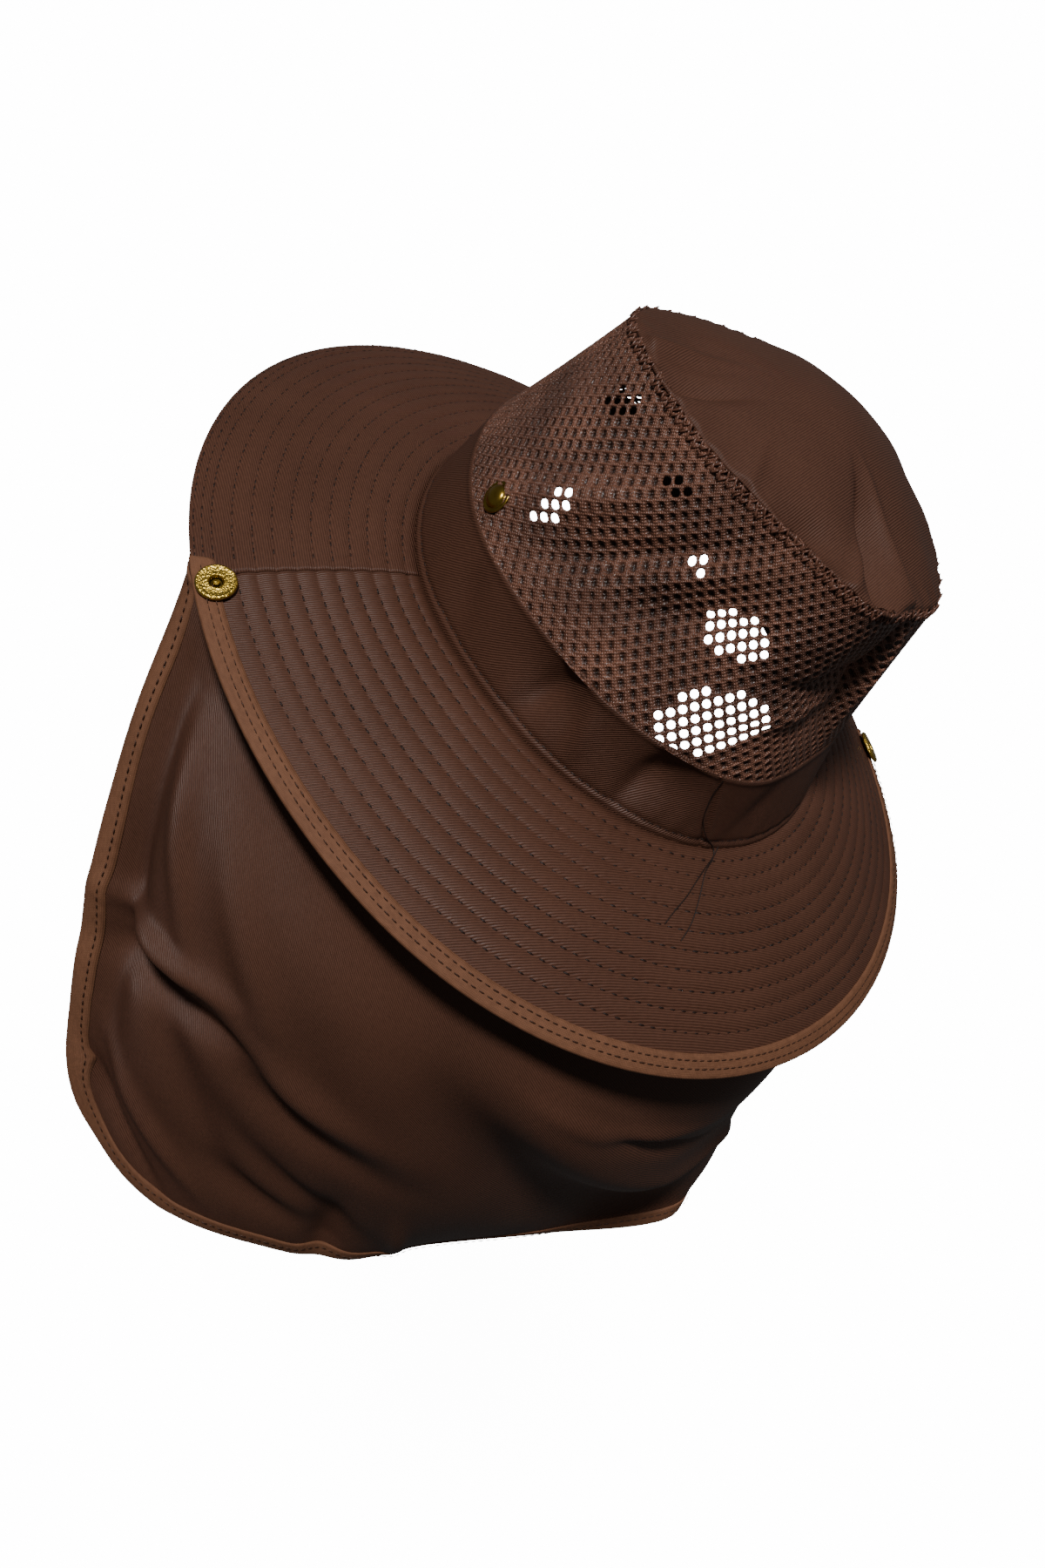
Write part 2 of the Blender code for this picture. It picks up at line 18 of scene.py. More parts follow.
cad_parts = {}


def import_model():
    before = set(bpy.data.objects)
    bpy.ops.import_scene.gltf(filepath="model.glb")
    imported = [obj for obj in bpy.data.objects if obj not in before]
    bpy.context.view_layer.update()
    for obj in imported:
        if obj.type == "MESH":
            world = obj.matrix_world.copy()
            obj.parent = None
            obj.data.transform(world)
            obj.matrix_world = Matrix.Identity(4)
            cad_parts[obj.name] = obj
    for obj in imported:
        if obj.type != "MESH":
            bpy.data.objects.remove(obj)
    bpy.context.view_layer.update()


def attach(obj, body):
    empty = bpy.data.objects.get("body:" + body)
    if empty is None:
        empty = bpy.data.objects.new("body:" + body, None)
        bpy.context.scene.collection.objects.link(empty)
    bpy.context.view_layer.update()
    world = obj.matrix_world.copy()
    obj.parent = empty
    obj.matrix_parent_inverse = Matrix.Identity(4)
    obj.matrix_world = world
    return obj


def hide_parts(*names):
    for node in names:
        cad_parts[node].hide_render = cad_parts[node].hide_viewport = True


LOG = logging.getLogger("flap_sun_hat")
WELD_DISTANCE = 0.00002
RIM_POINTS = 12
EDGE_TURNS = (0.5, 1.1, 1.57, 2.04, 2.64)

Array = np.ndarray
Profile = Sequence[tuple[float, float]]
Piece = bpy.types.Object
Material = bpy.types.Material
Colour = tuple[float, float, float]
Place = Callable[[Array, Array], Array]


# Named options


class Slot(Enum):
    """The record's material slots."""

    TWILL = "twill"
    NET = "net"
    TAPE = "tape"
    BRASS = "brass"


class Held(Enum):
    """How a sheet of cloth is held."""

    HUNG = "hung"
    STRETCHED = "stretched"


class Panel(Enum):
    """The crown panels that dents and folds are listed for."""

    BAND = "band"
    NET = "net"
    TOP = "top"


class BrimSide(Enum):
    """The two halves of the brim, by the angle where each starts."""

    BACK = 0
    FRONT = 180


class HatSide(Enum):
    """The wearer's sides, by their angle."""

    LEFT = 0
    RIGHT = 180


# Sizes that change round the hat


class CrownSection(NamedTuple):
    """The crown at an angle: reaches are shares of the head oval, rises of the heights."""

    angle_deg: float
    foot: float
    band_reach: float
    seam_reach: float
    seam_rise: float


CROWN_SECTIONS = (
    CrownSection(0, 1.01, 0.98, 0.75, 1.00),
    CrownSection(30, 0.96, 0.93, 0.71, 1.01),
    CrownSection(60, 0.96, 0.93, 0.70, 1.01),
    CrownSection(90, 0.99, 0.94, 0.76, 0.97),
    CrownSection(120, 1.01, 0.88, 0.72, 0.90),
    CrownSection(150, 1.03, 0.93, 0.82, 0.83),
    CrownSection(180, 1.01, 0.96, 0.86, 0.82),
    CrownSection(210, 1.00, 0.95, 0.86, 0.84),
    CrownSection(240, 1.00, 0.95, 0.76, 0.85),
    CrownSection(270, 1.00, 0.95, 0.69, 0.85),
    CrownSection(300, 0.97, 0.94, 0.70, 0.87),
    CrownSection(330, 0.99, 0.95, 0.77, 0.94),
)


class BrimSection(NamedTuple):
    """The brim at an angle: how steeply it falls, and its width as a share."""

    angle_deg: float
    slope_deg: float
    width: float


BRIM_SECTIONS = (
    BrimSection(0, 20, 0.98),
    BrimSection(30, 25, 1.00),
    BrimSection(60, 26, 1.02),
    BrimSection(90, 25, 1.00),
    BrimSection(120, 23, 0.97),
    BrimSection(150, 22, 0.95),
    BrimSection(180, 23, 1.00),
    BrimSection(210, 22, 1.00),
    BrimSection(240, 23, 1.02),
    BrimSection(270, 23, 1.03),
    BrimSection(300, 21, 1.06),
    BrimSection(330, 20, 1.02),
)


class FlapRib(NamedTuple):
    """One line of the flap's fall: where it hangs, where it ends, and how it bellies and tucks."""

    attach_deg: float
    side: float
    back: float
    drop: float
    belly: float
    tuck: float


FLAP_RIBS = (
    FlapRib(-4, 0.83, 0.67, 1.08, 0.060, 0.00),
    FlapRib(20, 0.59, 0.84, 1.09, 0.050, 0.00),
    FlapRib(44, 0.36, 0.92, 1.09, 0.045, 0.00),
    FlapRib(67, 0.14, 0.95, 1.10, 0.030, 0.00),
    FlapRib(90, -0.10, 0.96, 1.10, 0.020, 0.04),
    FlapRib(113, -0.43, 0.97, 1.03, 0.000, 0.05),
    FlapRib(137, -0.71, 0.95, 0.89, -0.050, 0.02),
    FlapRib(160, -0.80, 0.76, 0.92, -0.020, 0.04),
    FlapRib(184, -0.84, 0.56, 0.98, 0.080, 0.00),
)


class Dent(NamedTuple):
    """A soft dent: centre, half widths, and depth as a share of the head's width."""

    panel: Panel
    angle_deg: float
    height: float
    wide_deg: float
    tall: float
    depth: float


DENTS = (
    Dent(Panel.BAND, 42, 0.75, 12, 0.5, 0.020),
    Dent(Panel.BAND, 74, 0.70, 10, 0.5, 0.022),
    Dent(Panel.NET, 50, 0.40, 22, 0.35, 0.030),
    Dent(Panel.NET, 105, 0.45, 16, 0.40, 0.040),
    Dent(Panel.TOP, -18, 0.25, 24, 0.28, 0.025),
    Dent(Panel.TOP, 108, 0.32, 26, 0.28, 0.035),
)


class Fold(NamedTuple):
    """A fold in the flap: centre, turn from straight down, half length, half width and height."""

    across: float
    down: float
    lean_deg: float
    length: float
    width: float
    height: float


FLAP_FOLDS = (
    Fold(0.543, 0.42, 54, 0.55, 0.090, 0.035),
    Fold(0.500, 0.55, 54, 0.55, 0.110, -0.060),
    Fold(0.120, 0.62, 48, 0.35, 0.060, -0.020),
    Fold(0.330, 0.92, 10, 0.20, 0.070, -0.030),
)

FLAP_CREASES = (
    Fold(0.048, 0.420, 0, 0.40, 0.056, -0.046),
    Fold(0.240, 0.850, 78, 0.22, 0.045, -0.022),
    Fold(0.095, 0.455, 107, 0.17, 0.022, 0.034),
    Fold(0.110, 0.525, 107, 0.20, 0.032, -0.036),
    Fold(0.240, 0.450, 80, 0.22, 0.038, 0.024),
    Fold(0.260, 0.550, 80, 0.24, 0.045, -0.022),
    Fold(0.070, 0.870, 55, 0.12, 0.020, -0.020),
    Fold(0.100, 0.815, 60, 0.15, 0.024, 0.018),
    Fold(0.090, 0.270, 30, 0.14, 0.030, 0.020),
    Fold(0.180, 0.300, 50, 0.20, 0.050, 0.018),
    Fold(0.280, 0.770, 66, 0.26, 0.045, -0.024),
    Fold(0.420, 0.860, 30, 0.12, 0.035, 0.020),
    Fold(0.520, 0.250, 78, 0.20, 0.018, 0.014),
    Fold(0.570, 0.330, 62, 0.22, 0.020, -0.018),
    Fold(0.640, 0.560, 58, 0.20, 0.024, 0.010),
    Fold(0.780, 0.720, 70, 0.22, 0.022, 0.010),
    Fold(0.860, 0.500, 110, 0.20, 0.030, -0.010),
)


class Crease(NamedTuple):
    """A crease in a crown panel: centre, turn from upright, half length, half width and height in metres."""

    panel: Panel
    angle_deg: float
    height: float
    lean_deg: float
    length: float
    width: float
    rise: float


CREASES = (
    Crease(Panel.BAND, 40, 0.55, 12, 0.014, 0.0045, -0.0026),
    Crease(Panel.BAND, 52, 0.60, -14, 0.012, 0.0040, 0.0020),
    Crease(Panel.BAND, 70, 0.50, 8, 0.013, 0.0050, -0.0028),
    Crease(Panel.BAND, 12, 0.50, -10, 0.012, 0.0060, -0.0020),
    Crease(Panel.BAND, 104, 0.50, 12, 0.012, 0.0060, -0.0012),
    Crease(Panel.BAND, 150, 0.50, 0, 0.012, 0.0080, -0.0012),
    Crease(Panel.BAND, 90, 0.40, -24, 0.022, 0.0009, -0.0010),
    Crease(Panel.BAND, 91.5, 0.40, -24, 0.022, 0.0012, 0.0006),
    Crease(Panel.NET, 96, 0.35, 78, 0.030, 0.0040, 0.0020),
    Crease(Panel.NET, 98, 0.52, 80, 0.030, 0.0040, -0.0020),
    Crease(Panel.NET, 70, 0.62, 64, 0.026, 0.0050, 0.0018),
    Crease(Panel.NET, 16, 0.50, 40, 0.034, 0.0065, 0.0040),
    Crease(Panel.NET, 30, 0.42, 44, 0.036, 0.0060, -0.0044),
    Crease(Panel.NET, 46, 0.60, 50, 0.034, 0.0060, 0.0030),
    Crease(Panel.NET, 60, 0.52, 60, 0.030, 0.0050, -0.0030),
    Crease(Panel.NET, 118, 0.60, 6, 0.026, 0.0050, -0.0044),
    Crease(Panel.NET, 126, 0.55, 4, 0.026, 0.0045, 0.0034),
    Crease(Panel.TOP, 66, 0.10, 76, 0.020, 0.0080, -0.0050),
    Crease(Panel.TOP, 98, 0.22, 10, 0.020, 0.0100, -0.0085),
    Crease(Panel.TOP, 116, 0.26, 8, 0.022, 0.0090, 0.0050),
    Crease(Panel.TOP, 84, 0.14, 24, 0.014, 0.0032, 0.0020),
    Crease(Panel.TOP, 3, 0.14, 8, 0.018, 0.0070, -0.0055),
    Crease(Panel.TOP, -14, 0.16, -20, 0.020, 0.0060, 0.0034),
    Crease(Panel.TOP, 38, 0.10, -30, 0.016, 0.0040, 0.0012),
)


class NetPlace(NamedTuple):
    """A stretched or gathered place in the net: centre, turn from level, and half sizes in metres."""

    angle_deg: float
    height: float
    lean_deg: float
    length: float
    width: float


NET_OPENINGS = (
    NetPlace(74, 0.20, 34, 0.0205, 0.0115),
    NetPlace(65, 0.54, 14, 0.0150, 0.0075),
    NetPlace(45, 0.65, 0, 0.0050, 0.0035),
    NetPlace(28, 0.81, 10, 0.0075, 0.0032),
    NetPlace(11, 0.34, 84, 0.0110, 0.0034),
    NetPlace(0, 0.80, 40, 0.0085, 0.0055),
    NetPlace(126, 0.66, 95, 0.0120, 0.0036),
    NetPlace(245, 0.50, 0, 0.1150, 0.0600),
)


NET_GATHERS = (
    NetPlace(6, 0.22, 60, 0.0320, 0.0110),
    NetPlace(28, 0.12, 10, 0.0260, 0.0090),
    NetPlace(60, 0.97, 0, 0.0900, 0.0070),
    NetPlace(112, 0.30, 80, 0.0300, 0.0080),
    NetPlace(-16, 0.60, 75, 0.0260, 0.0080),
)


# Arrays


def points(x: Array, y: Array, z: Array) -> Array:
    """Coordinates joined into an array of points."""
    return np.stack(np.broadcast_arrays(x, y, z), axis=-1).astype(float)


def unit(vectors: Array) -> Array:
    """The vectors at length one."""
    return vectors / np.maximum(np.linalg.norm(vectors, axis=-1, keepdims=True), 1e-12)


def smooth_between(before: Array, start: Array, end: Array, after: Array, share: Array) -> Array:
    """Smooth cubic values between start and end.

    Args:
        before: The value before the span.
        start: The span's first value.
        end: The span's last value.
        after: The value after the span.
        share: Share of the way along the span.

    Returns:
        The value there.
    """
    return 0.5 * (
        2 * start
        + (end - before) * share
        + (2 * before - 5 * start + 4 * end - after) * share**2
        + (3 * start - before - 3 * end + after) * share**3
    )


def read_round(table: Sequence[NamedTuple], column: str, angle: Array) -> Array:
    """Reads a column smoothly round a closed table of evenly spaced rows.

    Args:
        table: The rows, the first at angle 0.
        column: The column's name.
        angle: Angles in degrees.

    Returns:
        The column's value at each angle.
    """
    values = np.array([getattr(row, column) for row in table], float)
    place = np.mod(angle, 360.0) / 360.0 * len(table)
    row = np.floor(place).astype(int)
    around = (values[(row + step) % len(table)] for step in (-1, 0, 1, 2))
    return smooth_between(*around, place - row)


def read_along(table: Sequence[NamedTuple], column: str, share: Array) -> Array:
    """Reads a column smoothly along an open table of evenly spaced rows.

    Args:
        table: The rows.
        column: The column's name.
        share: How far along the table, from 0 to 1.

    Returns:
        The column's value at each share.
    """
    values = np.array([getattr(row, column) for row in table], float)
    last = len(table) - 1
    place = np.clip(share, 0.0, 1.0) * last
    row = np.minimum(np.floor(place).astype(int), last - 1)
    around = (values[np.clip(row + step, 0, last)] for step in (-1, 0, 1, 2))
    return smooth_between(*around, place - row)


def normals(place: Place, first: Array, second: Array, steps: tuple[float, float]) -> Array:
    """Unit normals of a surface, first direction crossed with the second.

    Args:
        place: The surface.
        first: First coordinates.
        second: Second coordinates.
        steps: Half steps for the differences.

    Returns:
        A unit vector for each place.
    """
    along = place(first + steps[0], second) - place(first - steps[0], second)
    across = place(first, second + steps[1]) - place(first, second - steps[1])
    return unit(np.cross(along, across))


def lengths(line: Array) -> Array:
    """How far along a line each of its points lies."""
    return np.concatenate([[0.0], np.cumsum(np.linalg.norm(np.diff(line, axis=0), axis=1))])


def read_line(stops: Array, far: Array, values: Array) -> Array:
    """Reads three columns of values at stops along a line."""
    return np.stack([np.interp(stops, far, values[:, axis]) for axis in range(3)], axis=-1)


def bell(distance: Array, width: float) -> Array:
    """A soft bump of height one and the given half width."""
    return np.exp(-((distance / width) ** 2))


def turn_between(angle: Array, other: float) -> Array:
    """Degrees from other to angle, the short way round."""
    return np.mod(angle - other + 180.0, 360.0) - 180.0


def leaned(side: Array, up: Array, lean_deg: float) -> tuple[Array, Array]:
    """How far along and beside a line that leans from upright a place lies."""
    lean = math.radians(lean_deg)
    return side * math.sin(lean) + up * math.cos(lean), side * math.cos(lean) - up * math.sin(lean)


# The hat's surfaces


@dataclass(frozen=True)
class HatShape:
    """The surfaces that every piece of cloth, tape and thread lies on."""

    head_width: float = 0.182
    head_length: float = 0.200
    band_height: float = 0.034
    net_height: float = 0.080
    dome_rise: float = 0.010
    dome_round: float = 1.7
    brim_reach: float = 0.083
    brim_curl: float = 1.35
    flap_length: float = 0.210
    corner_across: float = 0.13
    corner_down: float = 0.20
    brim_thick: float = 0.0022
    flap_thick: float = 0.0011
    tape_thick: float = 0.0008
    touch_gap: float = 0.0003
    seam_gap: float = 0.0005
    net_strand: float = 0.0014
    lattice_columns: int = 30
    lattice_rows: int = 4
    flap_tuck: float = 0.0001
    under_brim: float = 0.0150
    under_brim_down: float = 0.120

    def oval(self, angle: Array, reach: Array, rise: Array) -> Array:
        """Points over the head oval, at shares of its size and at heights.

        Args:
            angle: Degrees round the head.
            reach: Share of the head oval's size.
            rise: Height in metres.

        Returns:
            The points.
        """
        turn = np.radians(angle)
        half_width, half_length = self.head_width / 2, self.head_length / 2
        return points(half_width * reach * np.cos(turn), half_length * reach * np.sin(turn), rise)

    def dent_depth(self, panel: Panel, angle: Array, height: Array) -> Array:
        """How far a panel is pushed in, in metres.

        Args:
            panel: The crown panel.
            angle: Degrees round the head.
            height: Share up the panel.

        Returns:
            The depth at each place.
        """
        depth = np.zeros(np.broadcast(angle, height).shape)
        for dent in DENTS:
            if dent.panel is panel:
                spread = (turn_between(angle, dent.angle_deg) / dent.wide_deg) ** 2
                spread = spread + ((height - dent.height) / dent.tall) ** 2
                depth = depth + dent.depth * self.head_width * np.exp(-spread)
        return depth

    def foot_ring(self, angle: Array) -> Array:
        """The crown's foot, where it meets the brim."""
        return self.oval(angle, read_round(CROWN_SECTIONS, "foot", angle), 0.0)

    def band_ring(self, angle: Array) -> Array:
        """The band's upper edge."""
        return self.oval(angle, read_round(CROWN_SECTIONS, "band_reach", angle), self.band_height)

    def seam_ring(self, angle: Array) -> Array:
        """The net's upper edge."""
        rise = read_round(CROWN_SECTIONS, "seam_rise", angle) * (self.band_height + self.net_height)
        return self.oval(angle, read_round(CROWN_SECTIONS, "seam_reach", angle), rise)

    def wall(self, panel: Panel, low: Array, high: Array, angle: Array, share: Array) -> Array:
        """A wall between two rings, pushed in where the panel is dented.

        Args:
            panel: The crown panel.
            low: Points on the lower ring.
            high: Points on the upper ring.
            angle: Degrees round the head.
            share: Share up the panel.

        Returns:
            The points on the wall.
        """
        flat = low + (high - low) * np.asarray(share, float)[..., None]
        outward = unit(flat * (1.0, 1.0, 0.0))
        fade = np.sin(np.pi * np.clip(share, 0.0, 1.0)) ** 0.7
        return flat - outward * (self.dent_depth(panel, angle, share) * fade)[..., None]

    def band_point(self, angle: Array, rise: Array) -> Array:
        """Outer face of the band, in metres up from the foot; straight down below it.

        Args:
            angle: Degrees round the head.
            rise: Metres up from the foot.

        Returns:
            The points.
        """
        angle, rise = np.broadcast_arrays(np.asarray(angle, float), np.asarray(rise, float))
        share = np.maximum(rise, 0.0) / self.band_height
        up = self.wall(Panel.BAND, self.foot_ring(angle), self.band_ring(angle), angle, share)
        return up + points(np.zeros_like(rise), np.zeros_like(rise), np.minimum(rise, 0.0))

    def net_point(self, angle: Array, share: Array) -> Array:
        """Outer face of the net, from the band (0) to the top's seam (1)."""
        angle, share = np.broadcast_arrays(np.asarray(angle, float), np.asarray(share, float))
        return self.wall(Panel.NET, self.band_ring(angle), self.seam_ring(angle), angle, share)

    def top_point(self, angle: Array, share: Array) -> Array:
        """Outer face of the crown's top, from its seam (0) to its middle (1).

        Args:
            angle: Degrees round the head.
            share: Share in from the seam.

        Returns:
            The points.
        """
        angle, share = np.broadcast_arrays(np.asarray(angle, float), np.asarray(share, float))
        seam = self.seam_ring(angle)
        out = np.clip(1 - share, 0.0, 1.0)
        middle = self.band_height + self.net_height + self.dome_rise
        height = seam[..., 2] + (middle - seam[..., 2]) * (1 - out**self.dome_round)
        height = height - self.dent_depth(Panel.TOP, angle, share) * np.sqrt(np.abs(np.sin(np.pi * out)))
        return points(seam[..., 0] * out, seam[..., 1] * out, height)

    def brim_width(self, angle: Array) -> Array:
        """How wide the brim's cloth and its bound edge are together."""
        return read_round(BRIM_SECTIONS, "width", angle) * self.brim_reach

    @property
    def cloth_reach(self) -> float:
        """How far out the cloth goes on a brim of the plain width, inside its bound edge."""
        return self.brim_reach - self.touch_gap - self.tape_thick

    def cloth_edge(self, angle: Array) -> Array:
        """How far out the brim's cloth goes, inside its bound edge."""
        return self.brim_width(angle) - self.touch_gap - self.tape_thick

    def brim_point(self, angle: Array, out: Array) -> Array:
        """Upper face of the brim, in metres out along the cloth from the crown's foot.

        Args:
            angle: Degrees round the head.
            out: Metres out from the crown's foot.

        Returns:
            The points.
        """
        angle, out = np.broadcast_arrays(np.asarray(angle, float), np.asarray(out, float))
        turn = np.radians(angle)
        slope = np.radians(read_round(BRIM_SECTIONS, "slope_deg", angle))
        width = self.brim_width(angle)
        run = out * np.cos(slope)
        drop = width * np.sin(slope) * np.maximum(out / width, 0.0) ** self.brim_curl
        return self.foot_ring(angle) + points(run * np.cos(turn), run * np.sin(turn), -drop)

    def brim_axes(self, angle: Array, out: Array) -> tuple[Array, Array]:
        """Unit vectors on the brim: outward along the cloth, and up off it.

        Args:
            angle: Degrees round the head.
            out: Metres out from the crown's foot.

        Returns:
            The outward and the upward vectors.
        """
        outward = unit(self.brim_point(angle, out + 0.0005) - self.brim_point(angle, out - 0.0005))
        along = unit(self.brim_point(angle + 0.2, out) - self.brim_point(angle - 0.2, out))
        return outward, unit(np.cross(outward, along))

    def rounded_share(self, across: Array, down: Array) -> tuple[Array, Array]:
        """The flap's flat shape: a rectangle's places moved so that its lower corners are round.

        Args:
            across: Share across the flap.
            down: Share down the flap.

        Returns:
            The moved places, across and down.
        """
        across, down = np.broadcast_arrays(np.asarray(across, float), np.asarray(down, float))
        nearest = np.minimum(across, 1 - across)
        side = np.clip(1 - nearest / self.corner_across, 0.0, 1.0)
        low = np.clip((down - 1 + self.corner_down) / self.corner_down, 0.0, 1.0)
        inset = self.corner_across * (1 - side * np.sqrt(1 - low**2 / 2))
        fall = 1 - self.corner_down * (1 - low * np.sqrt(1 - side**2 / 2))
        corner = (nearest < self.corner_across) & (down > 1 - self.corner_down)
        return (
            np.where(corner, np.where(across < 0.5, inset, 1 - inset), across),
            np.where(corner, fall, down),
        )

    def fold_height(self, folds: Sequence[Fold], across: Array, down: Array) -> Array:
        """How far a list of folds pushes the flap outward, in metres.

        Args:
            folds: The folds.
            across: Share across the flap.
            down: Share down the flap.

        Returns:
            The height at each place.
        """
        height = np.zeros(np.broadcast(across, down).shape)
        span = math.pi * (self.head_width / 2 + self.brim_reach) / self.flap_length
        for fold in folds:
            along, beside = leaned((across - fold.across) * span, down - fold.down, fold.lean_deg)
            height = height + fold.height * bell(along, fold.length) * bell(beside, fold.width)
        return height * self.flap_length

    def flap_top(self, angle: Array) -> Array:
        """The middle of the flap's upper edge, just under the brim's bound edge.

        Args:
            angle: Degrees round the head.

        Returns:
            The points.
        """
        out = self.cloth_edge(angle) - self.flap_thick / 2
        _, up = self.brim_axes(angle, out)
        under = self.brim_thick + self.touch_gap + self.tape_thick - self.flap_tuck
        return self.brim_point(angle, out) - up * under

    def flap_base(self, across: Array, down: Array) -> Array:
        """The flap without its folds.

        Args:
            across: Share across the flap.
            down: Share down the flap.

        Returns:
            The points.
        """
        half_width = self.head_width / 2 + self.brim_reach
        top = self.flap_top(read_along(FLAP_RIBS, "attach_deg", across))
        low = points(
            read_along(FLAP_RIBS, "side", across) * half_width,
            read_along(FLAP_RIBS, "back", across) * half_width,
            -read_along(FLAP_RIBS, "drop", across) * self.flap_length,
        )
        belly = read_along(FLAP_RIBS, "belly", across) * self.flap_length
        tuck = read_along(FLAP_RIBS, "tuck", across) * self.flap_length
        outward = unit((low + top) * (1.0, 1.0, 0.0))
        bulge = belly * np.sin(np.pi * down) - tuck * np.maximum(0.0, (down - 0.55) / 0.45) ** 2
        hidden = bell(down - self.under_brim_down * 0.6, self.under_brim_down)
        hidden = np.clip(down / 0.03, 0.0, 1.0) * hidden
        bulge = bulge - self.under_brim * hidden * np.clip(np.minimum(across, 1 - across) / 0.08, 0.15, 1.0)
        return top + (low - top) * np.asarray(down, float)[..., None] + outward * bulge[..., None]

    def flap_point(self, across: Array, down: Array) -> Array:
        """Middle of the flap's cloth: across from left to right, down from the brim to the hem.

        Args:
            across: Share across the flap.
            down: Share down the flap.

        Returns:
            The points.
        """
        across, down = np.broadcast_arrays(np.asarray(across, float), np.asarray(down, float))
        step = 0.01
        fall = self.flap_base(across, down + step) - self.flap_base(across, down - step)
        along = self.flap_base(np.minimum(across + step, 1.0), down) - self.flap_base(
            np.maximum(across - step, 0.0), down
        )
        free = np.minimum(np.minimum(across, 1 - across), 1 - down)
        fade = np.minimum(np.minimum(down / 0.12, 0.3 + free / 0.10), 1.0)
        height = self.fold_height(FLAP_FOLDS, across, down) * fade
        height = height + self.fold_height(FLAP_CREASES, across, down) * np.clip(down / 0.12, 0.0, 1.0)
        return self.flap_base(across, down) + unit(np.cross(fall, along)) * height[..., None]

    def flap_normal(self, across: Array, down: Array) -> Array:
        """The flap's outward direction.

        Args:
            across: Share across the flap.
            down: Share down the flap.

        Returns:
            Unit vectors.
        """
        step = 0.004
        along = self.flap_point(np.clip(across + step, 0, 1), down) - self.flap_point(
            np.clip(across - step, 0, 1), down
        )
        fall = self.flap_point(across, np.clip(down + step, 0, 1)) - self.flap_point(
            across, np.clip(down - step, 0, 1)
        )
        return unit(np.cross(fall, along))

    def lattice_place(self, across: float, up: float) -> Array:
        """A corner of the frame's own coarse lattice, which the studs sit on.

        Args:
            across: Share of the way round the crown.
            up: Share of the way up the net.

        Returns:
            The point.
        """
        low = (self.seam_gap + 0.0008) / self.net_height
        high = 1 - (self.seam_gap + 0.0014) / self.net_height
        lean = (up * self.lattice_rows - 1.5) * 180 / self.lattice_columns
        return self.net_point(np.array(across * 360 + lean), np.array(low + up * (high - low)))


# Meshes


def linked(name: str, data: bpy.types.ID) -> Piece:
    """A new object in the scene.

    Args:
        name: The object's name.
        data: Its mesh, curve, light or camera.

    Returns:
        The object.
    """
    obj = bpy.data.objects.new(name, data)
    bpy.context.scene.collection.objects.link(obj)
    return obj


def mesh_object(name: str, verts: Array, faces: list[list[int]]) -> Piece:
    """An object from points and faces, smooth shaded.

    Args:
        name: The object's name.
        verts: Its points.
        faces: Point numbers of each face.

    Returns:
        The object.
    """
    mesh = bpy.data.meshes.new(name)
    mesh.from_pydata(np.asarray(verts, float).reshape(-1, 3).tolist(), [], faces)
    mesh.shade_smooth()
    return linked(name, mesh)


def cloth_object(
    name: str, grid: Array, weave: Array, facing: Array, wrap: bool = False, pole: Optional[Array] = None
) -> Piece:
    """A surface from a grid of points, with its place in the weave as a UV map in metres.

    Args:
        name: The object's name.
        grid: Points, shape (rows, columns, 3).
        weave: Weave coordinates, shape (rows, columns, 2), one column more where it wraps.
        facing: Roughly outward vectors, shape (rows, columns, 3).
        wrap: Whether the last column joins the first.
        pole: A point that closes the last row.

    Returns:
        The object.
    """
    rows, columns = grid.shape[:2]
    index = np.arange(rows * columns).reshape(rows, columns)
    if wrap:
        index = np.concatenate([index, index[:, :1]], axis=1)
    corners = [index[:-1, :-1], index[:-1, 1:], index[1:, 1:], index[1:, :-1]]
    uv_corners = [weave[:-1, :-1], weave[:-1, 1:], weave[1:, 1:], weave[1:, :-1]]
    flat = grid.reshape(-1, 3)
    middle = (rows // 2) * columns
    spot = [corner.ravel()[min(middle, corner.size - 1)] for corner in corners]
    lean = np.cross(flat[spot[1]] - flat[spot[0]], flat[spot[3]] - flat[spot[0]])
    if float(lean @ facing.reshape(-1, 3)[spot[0]]) < 0:
        corners, uv_corners = corners[::-1], uv_corners[::-1]
    faces = np.stack(corners, axis=-1).reshape(-1, 4).tolist()
    uvs = np.stack(uv_corners, axis=-2).reshape(-1, 2)
    if pole is not None:
        flat = np.concatenate([flat, np.asarray(pole, float)[None]])
        last, tip = index[-1], rows * columns
        fan = [[int(last[k]), int(last[k + 1]), tip] for k in range(len(last) - 1)]
        fan_uv = [[weave[-1, k], weave[-1, k + 1], weave[-1, k]] for k in range(len(last) - 1)]
        if float(lean @ facing.reshape(-1, 3)[spot[0]]) < 0:
            fan, fan_uv = [face[::-1] for face in fan], [uv[::-1] for uv in fan_uv]
        faces += fan
        uvs = np.concatenate([uvs, np.array(fan_uv).reshape(-1, 2)])
    obj = mesh_object(name, flat, faces)
    layer = obj.data.uv_layers.new(name="weave")
    layer.data.foreach_set("uv", uvs.astype(np.float32).ravel())
    return obj


def weld(obj: Piece) -> None:
    """Joins vertices that share a place, and drops faces that have no area.

    Args:
        obj: The mesh object, changed in place.
    """
    joined = bmesh.new()
    joined.from_mesh(obj.data)
    bmesh.ops.remove_doubles(joined, verts=joined.verts, dist=WELD_DISTANCE)
    bmesh.ops.dissolve_degenerate(joined, edges=joined.edges, dist=WELD_DISTANCE)
    joined.to_mesh(obj.data)
    joined.free()


def thicken(obj: Piece, thickness: float, offset: float) -> Piece:
    """Gives a surface its wall: offset -1 keeps it as the outer face, 0 as the middle, 1 as the inner.

    Args:
        obj: The surface.
        thickness: The wall in metres.
        offset: Where the surface lies in it.

    Returns:
        The same object.
    """
    wall = obj.modifiers.new("wall", "SOLIDIFY")
    wall.thickness = thickness
    wall.offset = offset
    return obj


